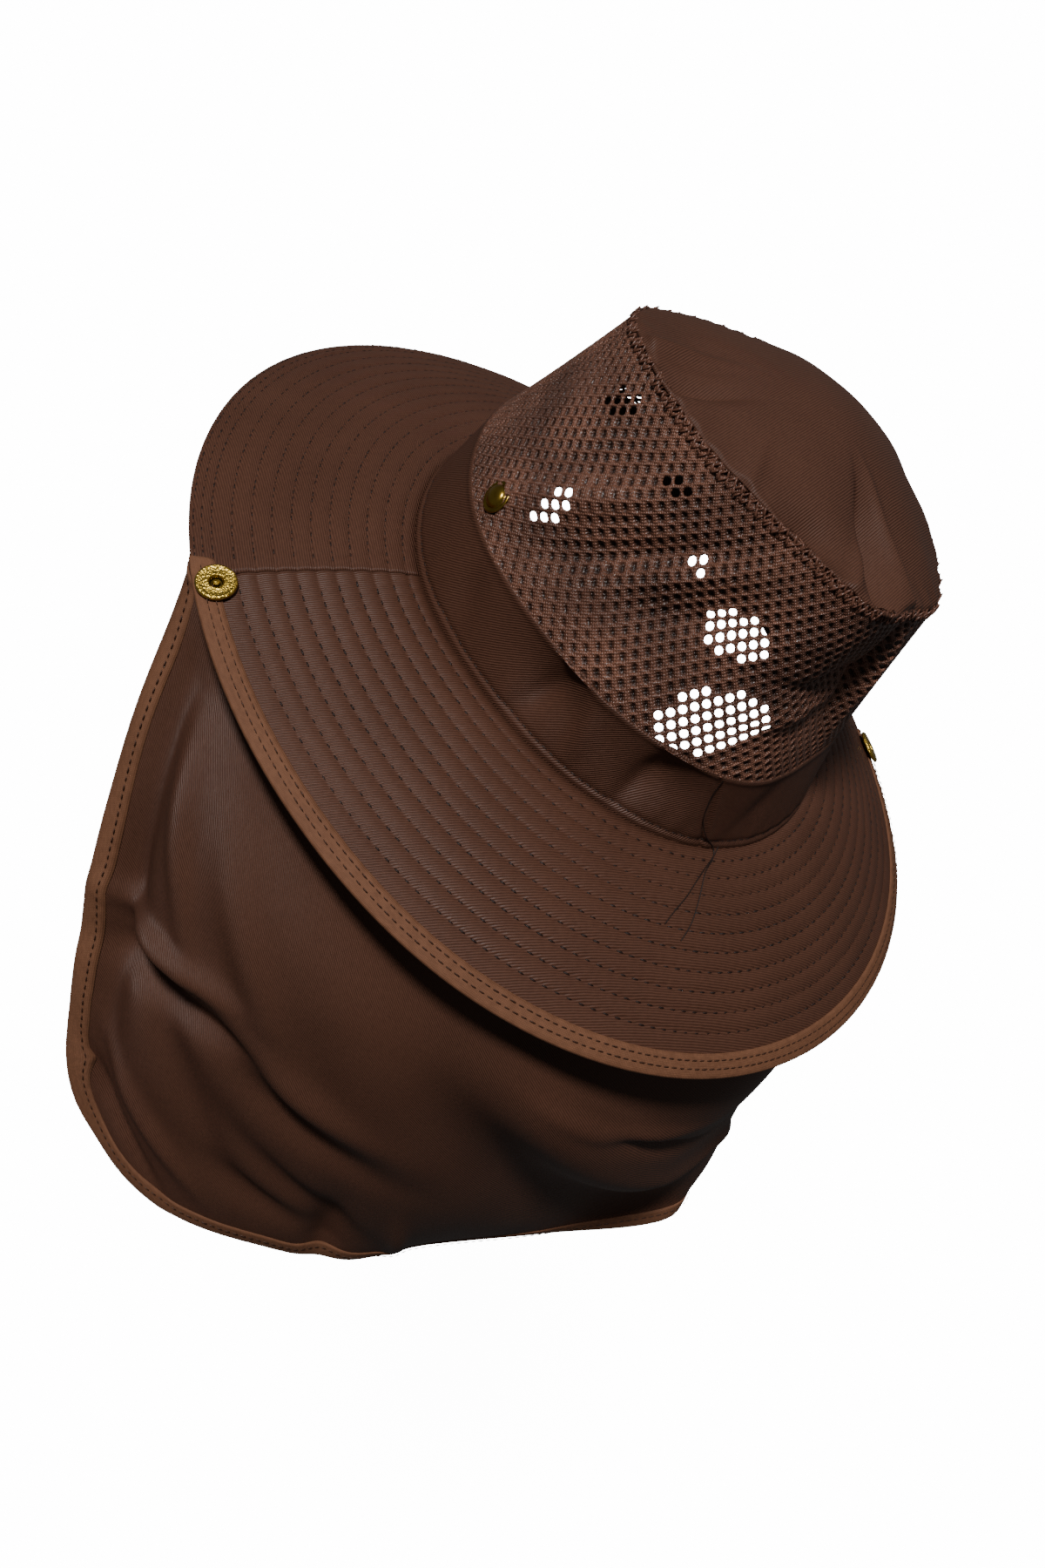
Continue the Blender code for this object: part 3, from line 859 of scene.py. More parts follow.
def lathe_object(name: str, profile: Profile, frame: Matrix, steps: int) -> Piece:
    """A round piece turned from its half profile, set in a frame.

    Args:
        name: The object's name.
        profile: Radius and height pairs from the axis above round to the axis below.
        frame: Where it sits, its Z the axis.
        steps: Faces round it.

    Returns:
        The object.
    """
    verts = [frame @ Vector((0.0, 0.0, profile[0][1]))]
    rings = profile[1:-1]
    for radius, height in rings:
        for step in range(steps):
            turn = 2 * math.pi * step / steps
            verts.append(frame @ Vector((radius * math.cos(turn), radius * math.sin(turn), height)))
    verts.append(frame @ Vector((0.0, 0.0, profile[-1][1])))
    last = len(verts) - 1
    faces: list[list[int]] = []
    for step in range(steps):
        after = (step + 1) % steps
        faces.append([0, 1 + step, 1 + after])
        for ring in range(len(rings) - 1):
            here, below = 1 + ring * steps, 1 + (ring + 1) * steps
            faces.append([here + step, below + step, below + after, here + after])
        end = 1 + (len(rings) - 1) * steps
        faces.append([end + step, last, end + after])
    return mesh_object(name, np.array([tuple(vert) for vert in verts]), faces)


def set_frame(origin: Array, up: Array, towards: Array) -> Matrix:
    """A frame at origin whose Z is up and whose X leans towards a direction.

    Args:
        origin: Where it stands.
        up: Its Z.
        towards: The direction that its X leans to.

    Returns:
        The frame.
    """
    rise, lean = Vector(up).normalized(), Vector(towards)
    across = (lean - rise * lean.dot(rise)).normalized()
    turn = Matrix((across, rise.cross(across), rise)).transposed().to_4x4()
    return Matrix.Translation(Vector(origin)) @ turn


class Finish(NamedTuple):
    """A material, and the record's slot that it belongs to."""

    material: Material
    slot: Slot


def settle(obj: Piece, finish: Finish, *nodes: str) -> Piece:
    """Dresses a piece and hands it to the frame, in place of the nodes named.

    Args:
        obj: The piece.
        finish: Its finish.
        nodes: The nodes that it stands for.

    Returns:
        The same object.
    """
    obj.data.materials.clear()
    obj.data.materials.append(finish.material)
    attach(obj, "root")
    if nodes:
        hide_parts(*nodes)
    LOG.info("%s: %s", obj.name, ", ".join(nodes) if nodes else finish.slot.value)
    return obj


# Finishes

Socket = bpy.types.NodeSocket
Value = Union[float, Colour, tuple, Socket]


class ShaderTree:
    """One material's nodes, built in short steps."""

    def __init__(self, name: str) -> None:
        """Starts a material of the given name.

        Args:
            name: The material's name.
        """
        self.material = bpy.data.materials.new(name)
        self.material.use_nodes = True
        self.tree = self.material.node_tree
        self.shader = self.tree.nodes["Principled BSDF"]

    def add(self, kind: str, **settings: object) -> bpy.types.Node:
        """Adds a node and sets its options.

        Args:
            kind: The node's type.

        Returns:
            The node.
        """
        node = self.tree.nodes.new(kind)
        for key, value in settings.items():
            setattr(node, key, value)
        return node

    def feed(self, socket: Socket, value: Value) -> None:
        """Links or sets one input.

        Args:
            socket: The input.
            value: A socket to link, or a plain value.
        """
        if isinstance(value, bpy.types.NodeSocket):
            self.tree.links.new(value, socket)
        elif isinstance(value, tuple) and len(value) == 3 and socket.type == "RGBA":
            socket.default_value = (*value, 1.0)
        else:
            socket.default_value = value

    def math(self, operation: str, *values: Value) -> Socket:
        """Arithmetic on values or sockets.

        Args:
            operation: The operation's name.
            values: Its values or sockets.

        Returns:
            The result.
        """
        node = self.add("ShaderNodeMath", operation=operation)
        for socket, value in zip(node.inputs, values):
            self.feed(socket, value)
        return node.outputs[0]

    def weave(self, across: float = 1.0, along: float = 1.0) -> Socket:
        """The weave's coordinates in metres, scaled.

        Args:
            across: Scale of the first coordinate.
            along: Scale of the second.

        Returns:
            The coordinates.
        """
        mapping = self.add("ShaderNodeMapping")
        mapping.inputs["Scale"].default_value = (across, along, 1.0)
        self.tree.links.new(self.add("ShaderNodeUVMap", uv_map="weave").outputs[0], mapping.inputs["Vector"])
        return mapping.outputs[0]

    def weave_axes(self) -> tuple[Socket, Socket]:
        """The weave's two coordinates in metres, each alone.

        Returns:
            The first coordinate and the second.
        """
        split = self.add("ShaderNodeSeparateXYZ")
        self.feed(split.inputs[0], self.weave())
        return split.outputs[0], split.outputs[1]

    def place(self) -> Socket:
        """Object coordinates."""
        return self.add("ShaderNodeTexCoord").outputs["Object"]

    def noise(self, vector: Socket, scale: float, detail: float = 2.0) -> Socket:
        """Noise from 0 to 1.

        Args:
            vector: Where it is read.
            scale: How fine it is.
            detail: How many octaves.

        Returns:
            The noise.
        """
        node = self.add("ShaderNodeTexNoise")
        self.feed(node.inputs["Vector"], vector)
        node.inputs["Scale"].default_value = scale
        node.inputs["Detail"].default_value = detail
        return node.outputs[0]

    def wave(self, coordinate: Socket, pitch: float) -> Socket:
        """A wave from 0 to 1 with a pitch in metres."""
        turn = self.math("MULTIPLY", coordinate, 2 * math.pi / pitch)
        return self.math("MULTIPLY_ADD", self.math("SINE", turn), 0.5, 0.5)

    def mix(self, share: Value, first: Value, second: Value) -> Socket:
        """A mix of two colours.

        Args:
            share: Share of the second.
            first: The first colour.
            second: The second colour.

        Returns:
            The colour.
        """
        node = self.add("ShaderNodeMix", data_type="RGBA")
        self.feed(node.inputs[0], share)
        self.feed(node.inputs[6], first)
        self.feed(node.inputs[7], second)
        return node.outputs[2]

    def bump(self, height: Socket, distance: float, strength: float = 1.0) -> None:
        """Gives the shader a relief of a depth in metres.

        Args:
            height: The relief, from 0 to 1.
            distance: Its depth in metres.
            strength: How much of it shows.
        """
        node = self.add("ShaderNodeBump")
        node.inputs["Strength"].default_value = strength
        node.inputs["Distance"].default_value = distance
        self.feed(node.inputs["Height"], height)
        self.tree.links.new(node.outputs[0], self.shader.inputs["Normal"])

    def finish(
        self, colour: Value, roughness: float, specular: float = 0.5, metallic: float = 0.0
    ) -> Material:
        """Sets the shader and gives back the material.

        Args:
            colour: The base colour.
            roughness: The roughness.
            specular: The specular level.
            metallic: 1 for metal.

        Returns:
            The material.
        """
        self.feed(self.shader.inputs["Base Color"], colour)
        self.shader.inputs["Roughness"].default_value = roughness
        self.shader.inputs["Metallic"].default_value = metallic
        self.shader.inputs["Specular IOR Level"].default_value = specular
        return self.material


@dataclass(frozen=True)
class TwillFinish:
    """Satin brown twill: fine ribs along the weave, broken by the yarn."""

    name: str = "brown_twill"
    dark: Colour = (0.018, 0.0062, 0.0034)
    light: Colour = (0.092, 0.039, 0.0235)
    rib_pitch: float = 0.00085
    rib_depth: float = 0.00020
    wander: float = 0.0006
    wander_scale: float = 90.0
    yarn_scale: tuple[float, float] = (1500.0, 420.0)
    cloud_scale: float = 26.0
    rib_tone: float = 0.42
    yarn_tone: float = 0.40
    cloud_tone: float = 0.30
    roughness: float = 0.50
    specular: float = 0.20

    def material(self) -> Material:
        """Builds the twill.

        Returns:
            The material.
        """
        tree = ShaderTree(self.name)
        wander = tree.noise(tree.weave(), self.wander_scale)
        across = tree.math("MULTIPLY_ADD", wander, self.wander, tree.weave_axes()[0])
        rib = tree.wave(across, self.rib_pitch)
        yarn = tree.noise(tree.weave(*self.yarn_scale), 1.0, 2.0)
        cloud = tree.noise(tree.place(), self.cloud_scale, 3.0)
        relief = tree.math("MULTIPLY_ADD", yarn, 0.5, rib)
        tone = tree.math("MULTIPLY_ADD", rib, self.rib_tone, tree.math("MULTIPLY", yarn, self.yarn_tone))
        tone = tree.math("MULTIPLY_ADD", cloud, self.cloud_tone, tone)
        tree.bump(relief, self.rib_depth, 0.8)
        return tree.finish(tree.mix(tone, self.dark, self.light), self.roughness, self.specular)


@dataclass(frozen=True)
class NetFinish:
    """Glossy knitted yarn; the webs and lips of gaps that are drawn shut take a near-black painted shade."""

    name: str = "knitted_net"
    dark: Colour = (0.022, 0.0076, 0.0042)
    light: Colour = (0.215, 0.092, 0.057)
    # gap: near-black painted shade for the webs across shut gaps, standing in for the dark inside of the hat.
    gap: Colour = (0.0016, 0.0008, 0.0006)
    loop_pitch: float = 0.0011
    ply_pitch: float = 0.00143
    loop_depth: float = 0.00035
    fibre_scale: float = 1400.0
    cloud_scale: float = 34.0
    roughness: float = 0.36

    def material(self) -> Material:
        """Builds the yarn.

        Returns:
            The material.
        """
        tree = ShaderTree(self.name)
        across, along = tree.weave_axes()
        loops = tree.wave(tree.math("ADD", across, along), self.loop_pitch)
        plies = tree.wave(tree.math("SUBTRACT", across, along), self.ply_pitch)
        twist = tree.math("MULTIPLY", loops, plies)
        fibre = tree.noise(tree.weave(self.fibre_scale, self.fibre_scale), 1.0, 2.0)
        tone = tree.math("MULTIPLY_ADD", fibre, 0.9, tree.math("MULTIPLY", twist, 0.5))
        cloud = tree.noise(tree.place(), self.cloud_scale, 2.0)
        tone = tree.math("MULTIPLY", tone, tree.math("MULTIPLY_ADD", cloud, 2.2, -0.25))
        colour = tree.mix(tone, self.dark, self.light)
        # The gap attribute mixes in the painted shade on the webs and lips of shut gaps.
        gap = tree.add("ShaderNodeAttribute", attribute_name="gap").outputs["Fac"]
        tree.bump(tree.math("ADD", twist, fibre), self.loop_depth, 1.0)
        return tree.finish(tree.mix(gap, colour, self.gap), self.roughness, 0.40)


@dataclass(frozen=True)
class TapeFinish:
    """Lighter brown woven tape with a fine plain weave."""

    name: str = "binding_tape"
    dark: Colour = (0.058, 0.023, 0.011)
    light: Colour = (0.180, 0.078, 0.040)
    thread_pitch: float = 0.00055
    thread_depth: float = 0.00012
    fibre_scale: tuple[float, float] = (900.0, 300.0)
    cloud_scale: float = 40.0
    roughness: float = 0.72

    def material(self) -> Material:
        """Builds the tape.

        Returns:
            The material.
        """
        tree = ShaderTree(self.name)
        weft, warp = (tree.wave(axis, self.thread_pitch) for axis in tree.weave_axes())
        relief = tree.math("MULTIPLY", weft, warp)
        fibre = tree.noise(tree.weave(*self.fibre_scale), 1.0, 2.0)
        cloud = tree.noise(tree.place(), self.cloud_scale, 2.0)
        tone = tree.math("MULTIPLY_ADD", relief, 0.35, tree.math("MULTIPLY", fibre, 0.55))
        tone = tree.math("MULTIPLY_ADD", cloud, 0.25, tone)
        tree.bump(relief, self.thread_depth, 0.8)
        return tree.finish(tree.mix(tone, self.dark, self.light), self.roughness, 0.20)


@dataclass(frozen=True)
class ThreadFinish:
    """Sewing thread; its default near-black is partly the thread's own colour and partly painted shade of
    stitches sunk into the cloth.
    """

    name: str = "sewing_thread_painted_shade"
    # Darker than the cloth: partly painted shade where the stitches sink in.
    colour: Colour = (0.0060, 0.0028, 0.0020)
    roughness: float = 0.55
    contrast: float = 2.6
    fibre_scale: float = 2500.0
    fibre_depth: float = 0.00005

    def material(self) -> Material:
        """Builds the thread.

        Returns:
            The material.
        """
        tree = ShaderTree(self.name)
        fibre = tree.noise(tree.place(), self.fibre_scale)
        tree.bump(fibre, self.fibre_depth)
        lighter = tuple(self.contrast * channel for channel in self.colour)
        return tree.finish(tree.mix(fibre, self.colour, lighter), self.roughness, 0.30)


@dataclass(frozen=True)
class BrassFinish:
    """Bright yellow brass, worn smooth or stamped with small pits."""

    name: str
    pitted: bool
    bright: Colour = (0.50, 0.33, 0.055)
    dull: Colour = (0.15, 0.085, 0.012)
    roughness: float = 0.26
    pitted_roughness: float = 0.34
    grain_scale: float = 1500.0
    grain_depth: float = 0.00002
    wear_scale: float = 260.0
    pit_scale: float = 1150.0
    pit_depth: float = 0.00022

    def material(self) -> Material:
        """Builds the brass.

        Returns:
            The material.
        """
        tree = ShaderTree(self.name)
        grain = tree.noise(tree.place(), self.grain_scale, 3.0)
        if not self.pitted:
            tree.bump(grain, self.grain_depth)
            wear = tree.noise(tree.place(), self.wear_scale, 2.0)
            return tree.finish(tree.mix(wear, self.bright, self.dull), self.roughness, 0.5, 1.0)
        pits = tree.add("ShaderNodeTexVoronoi", feature="F1")
        tree.feed(pits.inputs["Vector"], tree.place())
        pits.inputs["Scale"].default_value = self.pit_scale
        height = tree.math("MULTIPLY_ADD", pits.outputs["Distance"], 1.2, grain)
        dark = tree.math("SMOOTH_MAX", tree.math("SUBTRACT", 0.62, height), 0.0, 0.2)
        tree.bump(height, self.pit_depth, 1.0)
        return tree.finish(tree.mix(dark, self.bright, self.dull), self.pitted_roughness, 0.5, 1.0)


# Stitches


class Rail(NamedTuple):
    """A line on the cloth that thread follows: its points, and the direction off the cloth at each."""

    line: Array
    lift: Array


@dataclass(frozen=True)
class StitchKind:
    """One kind of stitch: sizes in metres, and how much they vary."""

    pitch: float
    length: float
    width: float
    height: float
    slant_deg: float = 0.0
    vary: float = 0.15
    seed: int = 7


class StitchSewer:
    """Sews rows of stitches with a node tree that sets one thread lump on each point."""

    def __init__(self) -> None:
        """Builds the node tree once."""
        self.tree = bpy.data.node_groups.new("stitch_rows", "GeometryNodeTree")
        face = self.tree.interface
        face.new_socket("Geometry", in_out="INPUT", socket_type="NodeSocketGeometry")
        self.sockets = {
            name: face.new_socket(name, in_out="INPUT", socket_type=kind).identifier
            for name, kind in (
                ("Stitch Length", "NodeSocketFloat"),
                ("Stitch Width", "NodeSocketFloat"),
                ("Stitch Height", "NodeSocketFloat"),
                ("Vary", "NodeSocketFloat"),
                ("Seed", "NodeSocketInt"),
                ("Thread", "NodeSocketMaterial"),
            )
        }
        face.new_socket("Geometry", in_out="OUTPUT", socket_type="NodeSocketGeometry")
        nodes, link = self.tree.nodes, self.tree.links.new
        start, end = nodes.new("NodeGroupInput"), nodes.new("NodeGroupOutput")
        lump = nodes.new("GeometryNodeMeshIcoSphere")
        lump.inputs["Radius"].default_value = 0.5
        lump.inputs["Subdivisions"].default_value = 1
        turn = nodes.new("FunctionNodeAxesToRotation")
        turn.primary_axis, turn.secondary_axis = "X", "Z"
        for slot, name in (("Primary Axis", "along"), ("Secondary Axis", "lift")):
            read = nodes.new("GeometryNodeInputNamedAttribute")
            read.data_type = "FLOAT_VECTOR"
            read.inputs["Name"].default_value = name
            link(read.outputs["Attribute"], turn.inputs[slot])
        size = nodes.new("ShaderNodeCombineXYZ")
        for axis, name in zip("XYZ", ("Stitch Length", "Stitch Width", "Stitch Height")):
            link(start.outputs[name], size.inputs[axis])
        spread = nodes.new("FunctionNodeRandomValue")
        spread.data_type = "FLOAT"
        low, high = nodes.new("ShaderNodeMath"), nodes.new("ShaderNodeMath")
        low.operation, high.operation = "SUBTRACT", "ADD"
        for node in (low, high):
            node.inputs[0].default_value = 1.0
            link(start.outputs["Vary"], node.inputs[1])
        floats = [socket for socket in spread.inputs if socket.type == "VALUE"]
        link(low.outputs[0], floats[0])
        link(high.outputs[0], floats[1])
        link(start.outputs["Seed"], spread.inputs["Seed"])
        scale = nodes.new("ShaderNodeVectorMath")
        scale.operation = "SCALE"
        link(size.outputs[0], scale.inputs[0])
        link([socket for socket in spread.outputs if socket.type == "VALUE"][0], scale.inputs["Scale"])
        sew = nodes.new("GeometryNodeInstanceOnPoints")
        link(start.outputs["Geometry"], sew.inputs["Points"])
        link(lump.outputs["Mesh"], sew.inputs["Instance"])
        link(turn.outputs[0], sew.inputs["Rotation"])
        link(scale.outputs[0], sew.inputs["Scale"])
        real, paint = nodes.new("GeometryNodeRealizeInstances"), nodes.new("GeometryNodeSetMaterial")
        link(sew.outputs[0], real.inputs[0])
        link(real.outputs[0], paint.inputs["Geometry"])
        link(start.outputs["Thread"], paint.inputs["Material"])
        link(paint.outputs[0], end.inputs[0])

    def stations(self, rail: Rail, kind: StitchKind, number: int) -> tuple[Array, Array, Array]:
        """Where a row's stitches sit.

        Args:
            rail: The line they follow.
            kind: The kind of stitch.
            number: The row's number, which shifts it.

        Returns:
            Centres, directions and lifts.
        """
        far = lengths(rail.line)
        shift = kind.pitch * (0.5 + 0.37 * number % 1.0)
        stops = np.arange(shift, far[-1] - kind.length / 2, kind.pitch)
        centre = read_line(stops, far, rail.line)
        lift = unit(read_line(stops, far, rail.lift))
        reach = 0.0006
        along = unit(read_line(stops + reach, far, rail.line) - read_line(stops - reach, far, rail.line))
        if kind.slant_deg:
            sign = np.where(np.arange(len(stops)) % 2, 1.0, -1.0)[:, None]
            slant = math.radians(kind.slant_deg)
            along = along * math.cos(slant) + np.cross(lift, along) * math.sin(slant) * sign
        return centre, along, lift

    def sew(self, name: str, rails: Sequence[Rail], kind: StitchKind, thread: Finish) -> Piece:
        """Sews rows of stitches as one plain mesh, and hands it to the frame.

        Args:
            name: The piece's name.
            rails: The rows.
            kind: The kind of stitch.
            thread: The thread's finish.

        Returns:
            The stitches.
        """
        rows = [self.stations(rail, kind, number) for number, rail in enumerate(rails)]
        centre, along, lift = (np.concatenate([row[part] for row in rows]) for part in range(3))
        mesh = bpy.data.meshes.new(name + "_points")
        mesh.from_pydata(centre.tolist(), [], [])
        for label, data in (("along", along), ("lift", lift)):
            mesh.attributes.new(label, "FLOAT_VECTOR", "POINT").data.foreach_set("vector", data.ravel())
        maker = linked(name + "_points", mesh)
        rows_made = maker.modifiers.new("rows", "NODES")
        rows_made.node_group = self.tree
        for label, value in (
            ("Stitch Length", kind.length),
            ("Stitch Width", kind.width),
            ("Stitch Height", kind.height),
            ("Vary", kind.vary),
            ("Seed", kind.seed),
            ("Thread", thread.material),
        ):
            rows_made[self.sockets[label]] = value
        made = bpy.data.meshes.new_from_object(maker.evaluated_get(bpy.context.evaluated_depsgraph_get()))
        maker.modifiers.clear()
        bpy.data.objects.remove(maker)
        made.shade_smooth()
        return settle(linked(name, made), thread)


# Sub-assemblies


class Finishes:
    """The finishes, each built once."""

    def __init__(self) -> None:
        """Builds them."""
        tape_brown, net_brown = (0.026, 0.0105, 0.0055), (0.052, 0.022, 0.014)
        # A darker, rougher brass as painted shade for the ring's sunk well.
        well = BrassFinish("sunk_painted_shade_brass", False, (0.10, 0.065, 0.012), (0.03, 0.018, 0.004), 0.5)
        self.twill = Finish(TwillFinish().material(), Slot.TWILL)
        self.net = Finish(NetFinish().material(), Slot.NET)
        self.tape = Finish(TapeFinish().material(), Slot.TAPE)
        self.thread = Finish(ThreadFinish().material(), Slot.TWILL)
        self.tape_thread = Finish(ThreadFinish("tape_thread", tape_brown).material(), Slot.TAPE)
        self.net_thread = Finish(ThreadFinish("net_edge_thread", net_brown, 0.35).material(), Slot.NET)
        self.ring_brass = Finish(BrassFinish("stamped_brass", True).material(), Slot.BRASS)
        self.well_painted_shade_brass = Finish(well.material(), Slot.BRASS)
        self.stud_brass = Finish(BrassFinish("smooth_brass", False).material(), Slot.BRASS)


@dataclass
class Brim:
    """Two quilted halves, and the tape folded over the back half's edge."""

    shape: HatShape
    finishes: Finishes
    sewer: StitchSewer
    columns: int = 300
    row_pitch: float = 0.0069
    first_row: float = 0.0052
    back_rows: int = 10
    front_rows: int = 11
    edge_rows: tuple[float, float] = (0.0016, 0.0044)
    groove_depth: float = 0.00030
    groove_width: float = 0.0010
    puff: float = 0.00020
    pinch_depth: float = 0.00045
    row_shift: float = 1.7
    edge_round: float = 0.0009
    tape_width: float = 0.0080
    tape_lap: float = 0.0080
    tape_end_round: float = 0.0035
    tape_puff: float = 0.00025
    tape_wave: float = 0.00012
    tape_rows: tuple[float, float] = (0.0030, 0.0058)
    seam_tuck: float = 0.0005
    back_stitch: StitchKind = StitchKind(0.0050, 0.0028, 0.00078, 0.0005)
    front_stitch: StitchKind = StitchKind(0.0036, 0.0027, 0.00058, 0.0004)
    tape_stitch: StitchKind = StitchKind(0.0034, 0.0027, 0.00042, 0.00040)
    half_size: tuple[float, float] = (0.356, 0.178)
    half_area: float = 0.0350

    def row_outs(self, side: BrimSide) -> list[float]:
        """How far out the half's stitch rows lie on a brim of the plain width.

        Args:
            side: The half of the brim.

        Returns:
            Metres out, one for each row.
        """
        count = self.back_rows if side is BrimSide.BACK else self.front_rows
        rows = [self.first_row + self.row_pitch * number for number in range(count)]
        if side is BrimSide.FRONT:
            rows += [self.shape.cloth_reach - inset for inset in reversed(self.edge_rows)]
        return rows

    def reach(self, angle: Array, plain: Array) -> Array:
        """Turns a place on a brim of the plain width into metres out at an angle."""
        return plain * self.shape.cloth_edge(angle) / self.shape.cloth_reach

    def relief(self, side: BrimSide, angle: Array, plain: Array) -> Array:
        """How far the quilting lifts the cloth.

        Args:
            side: The half of the brim.
            angle: Degrees round the head.
            plain: Metres out on a plain brim.

        Returns:
            The lift in metres.
        """
        height = np.zeros(np.broadcast(angle, plain).shape)
        rows = self.row_outs(side)
        round_way = (self.shape.head_width / 2 + plain) * np.radians(angle)
        for number, row in enumerate(rows):
            pinch = np.cos(math.pi * round_way / self.back_stitch.pitch + number * self.row_shift) ** 8
            depth = self.groove_depth + self.pinch_depth * pinch
            height = height - depth * bell(plain - row, self.groove_width)
        quilted = (plain > rows[0]) & (plain < rows[-1])
        waves = 0.5 - 0.5 * np.cos(2 * math.pi * (plain - rows[0]) / self.row_pitch)
        wander = 0.6 + 0.4 * np.sin(np.radians(angle) * 31 + plain * 900)
        height = height + np.where(quilted, waves, 0.0) * self.puff * wander
        return height - self.edge_round * bell(self.shape.cloth_reach - plain, self.edge_round)

    def surface(self, side: BrimSide, angle: Array, plain: Array) -> Array:
        """The half's upper face with its quilting.

        Args:
            side: The half of the brim.
            angle: Degrees round the head.
            plain: Metres out on a plain brim.

        Returns:
            The points.
        """
        out = self.reach(angle, plain)
        _, up = self.shape.brim_axes(angle, out)
        return self.shape.brim_point(angle, out) + up * self.relief(side, angle, plain)[..., None]

    def stations(self, side: BrimSide) -> Array:
        """Places from the crown to the edge, close together at each stitch row.

        Args:
            side: The half of the brim.

        Returns:
            Metres out on a plain brim.
        """
        edge = self.shape.cloth_reach
        places = {-self.seam_tuck, edge, edge - 0.0004, edge - 0.0009, edge - 0.0016}
        for row in self.row_outs(side):
            places |= {row + step * self.groove_width for step in (-1.3, -0.6, 0.0, 0.6, 1.3, 3.1)}
        kept: list[float] = []
        for place in sorted(places):
            if place <= edge and (not kept or place - kept[-1] > 0.00035):
                kept.append(place)
        kept[-1] = edge
        return np.array(kept)

    def cloth(self, side: BrimSide) -> Piece:
        """One quilted half.

        Args:
            side: The half of the brim.

        Returns:
            The dressed piece.
        """
        plain = self.stations(side)[:, None]
        share = np.linspace(0, 1, self.columns)[None, :]
        gap = np.degrees(self.shape.seam_gap / 2 / (self.shape.head_width / 2 + plain))
        angle = side.value + gap + share * (180 - 2 * gap)
        plain, angle = np.broadcast_arrays(plain, angle)
        grid = self.surface(side, angle, plain)
        if side is BrimSide.BACK:
            weave = np.stack([grid[..., 1], grid[..., 0]], axis=-1)
        else:
            weave = np.stack([grid[..., 0], grid[..., 1]], axis=-1)
        facing = np.zeros_like(grid) + (0.0, 0.0, 1.0)
        node = "brim_" + side.name.lower()
        half = cloth_object(node + "_quilted", grid, weave, facing)
        return settle(thicken(half, self.shape.brim_thick, -1.0), self.finishes.twill, node)

    def rail(self, side: BrimSide, row: float) -> Rail:
        """The line of one stitch row, sunk a little in its groove.

        Args:
            side: The half of the brim.
            row: The row's place on a brim of the plain width.

        Returns:
            The rail.
        """
        angle = side.value + np.linspace(1.5, 178.5, 400)
        plain = np.full_like(angle, row)
        _, up = self.shape.brim_axes(angle, self.reach(angle, plain))
        return Rail(self.surface(side, angle, plain) - up * 0.00002, up)

    def stitches(self, side: BrimSide) -> Piece:
        """The half's rows of stitches.

        Args:
            side: The half of the brim.

        Returns:
            The dressed piece.
        """
        rails = [self.rail(side, row) for row in self.row_outs(side)]
        kind = self.back_stitch if side is BrimSide.BACK else self.front_stitch
        return self.sewer.sew("brim_" + side.name.lower() + "_stitches", rails, kind, self.finishes.thread)

    def tape_point(self, angle: Array, inward: Array, lift: Array, past: Array) -> Array:
        """A place on the tape: inward from the cloth's edge, off the cloth, and past its edge.

        Args:
            angle: Degrees round the head.
            inward: Metres in from the cloth's edge.
            lift: Metres off the cloth.
            past: Metres past its edge.

        Returns:
            The points.
        """
        edge = self.shape.cloth_edge(angle)
        outward, up = self.shape.brim_axes(angle, edge - inward)
        return self.shape.brim_point(angle, edge - inward) + up * lift[..., None] + outward * past[..., None]

    def tape(self) -> Piece:
        """Tape folded over the back half's edge, with a rounded end lapping onto the front half.

        Returns:
            The dressed piece.
        """
        radius = self.shape.head_width / 2 + self.shape.brim_reach
        lap = math.degrees(self.tape_lap / radius)
        spans = ((-lap, -lap / 2, 12), (-lap / 2, 180 + lap / 2, 420), (180 + lap / 2, 180 + lap, 12))
        angle = np.unique(np.concatenate([np.linspace(*span) for span in spans]))
        end = np.minimum(angle + lap, 180 + lap - angle) * math.radians(1) * radius
        rounding = np.maximum(1 - end / self.tape_end_round, 0.0) ** 2
        width = self.tape_width * np.sqrt(np.clip(1 - rounding, 0.02, 1.0))
        top, below = self.shape.touch_gap, -self.shape.brim_thick - self.shape.touch_gap
        middle = (top + below) / 2
        bulge = 2 * self.shape.touch_gap
        shares = (1.0, 0.8, 0.6, 0.4, 0.2, 0.06)
        upper = [(share, top + self.tape_puff * math.sin(math.pi * share), 0.0) for share in shares]
        half = top - middle
        nose = [(0.0, middle + half * math.cos(turn), bulge * math.sin(turn)) for turn in EDGE_TURNS]
        under = [(share, below, 0.0) for share in (0.06, 0.35, 0.7, 1.0)]
        rows, weave, facing = [], [], []
        far = np.radians(angle) * radius
        zero = np.zeros_like(angle)
        for share, lift, past in upper + nose + under:
            face = 1.0 if lift > middle else -1.0
            wave = self.tape_wave * np.sin(far * 700 + share * 5) if share and lift > 0 else 0.0
            rows.append(self.tape_point(angle, width * share, zero + lift + wave, zero + past))
            weave.append(np.stack([zero + share * self.tape_width * face, far], axis=-1))
            facing.append(points(zero, zero, zero + face))
        tape = cloth_object("brim_tape", np.array(rows), np.array(weave), np.array(facing))
        return settle(thicken(tape, self.shape.tape_thick, 1.0), self.finishes.tape, "brim_binding")

    def tape_stitches(self) -> Piece:
        """Two rows of stitches on the tape.

        Returns:
            The dressed piece.
        """
        rails = []
        for inward in self.tape_rows:
            angle = np.linspace(-1.2, 181.2, 420)
            zero = np.zeros_like(angle)
            lift = zero + self.shape.touch_gap + self.shape.tape_thick + 0.00020
            _, up = self.shape.brim_axes(angle, self.shape.cloth_edge(angle) - inward)
            rails.append(Rail(self.tape_point(angle, zero + inward, lift, zero), up))
        return self.sewer.sew("brim_tape_stitches", rails, self.tape_stitch, self.finishes.tape_thread)

    def build(self) -> None:
        """Makes the brim."""
        tape = [self.tape(), self.tape_stitches()]
        for side in BrimSide:
            cloth, rows = self.cloth(side), self.stitches(side)


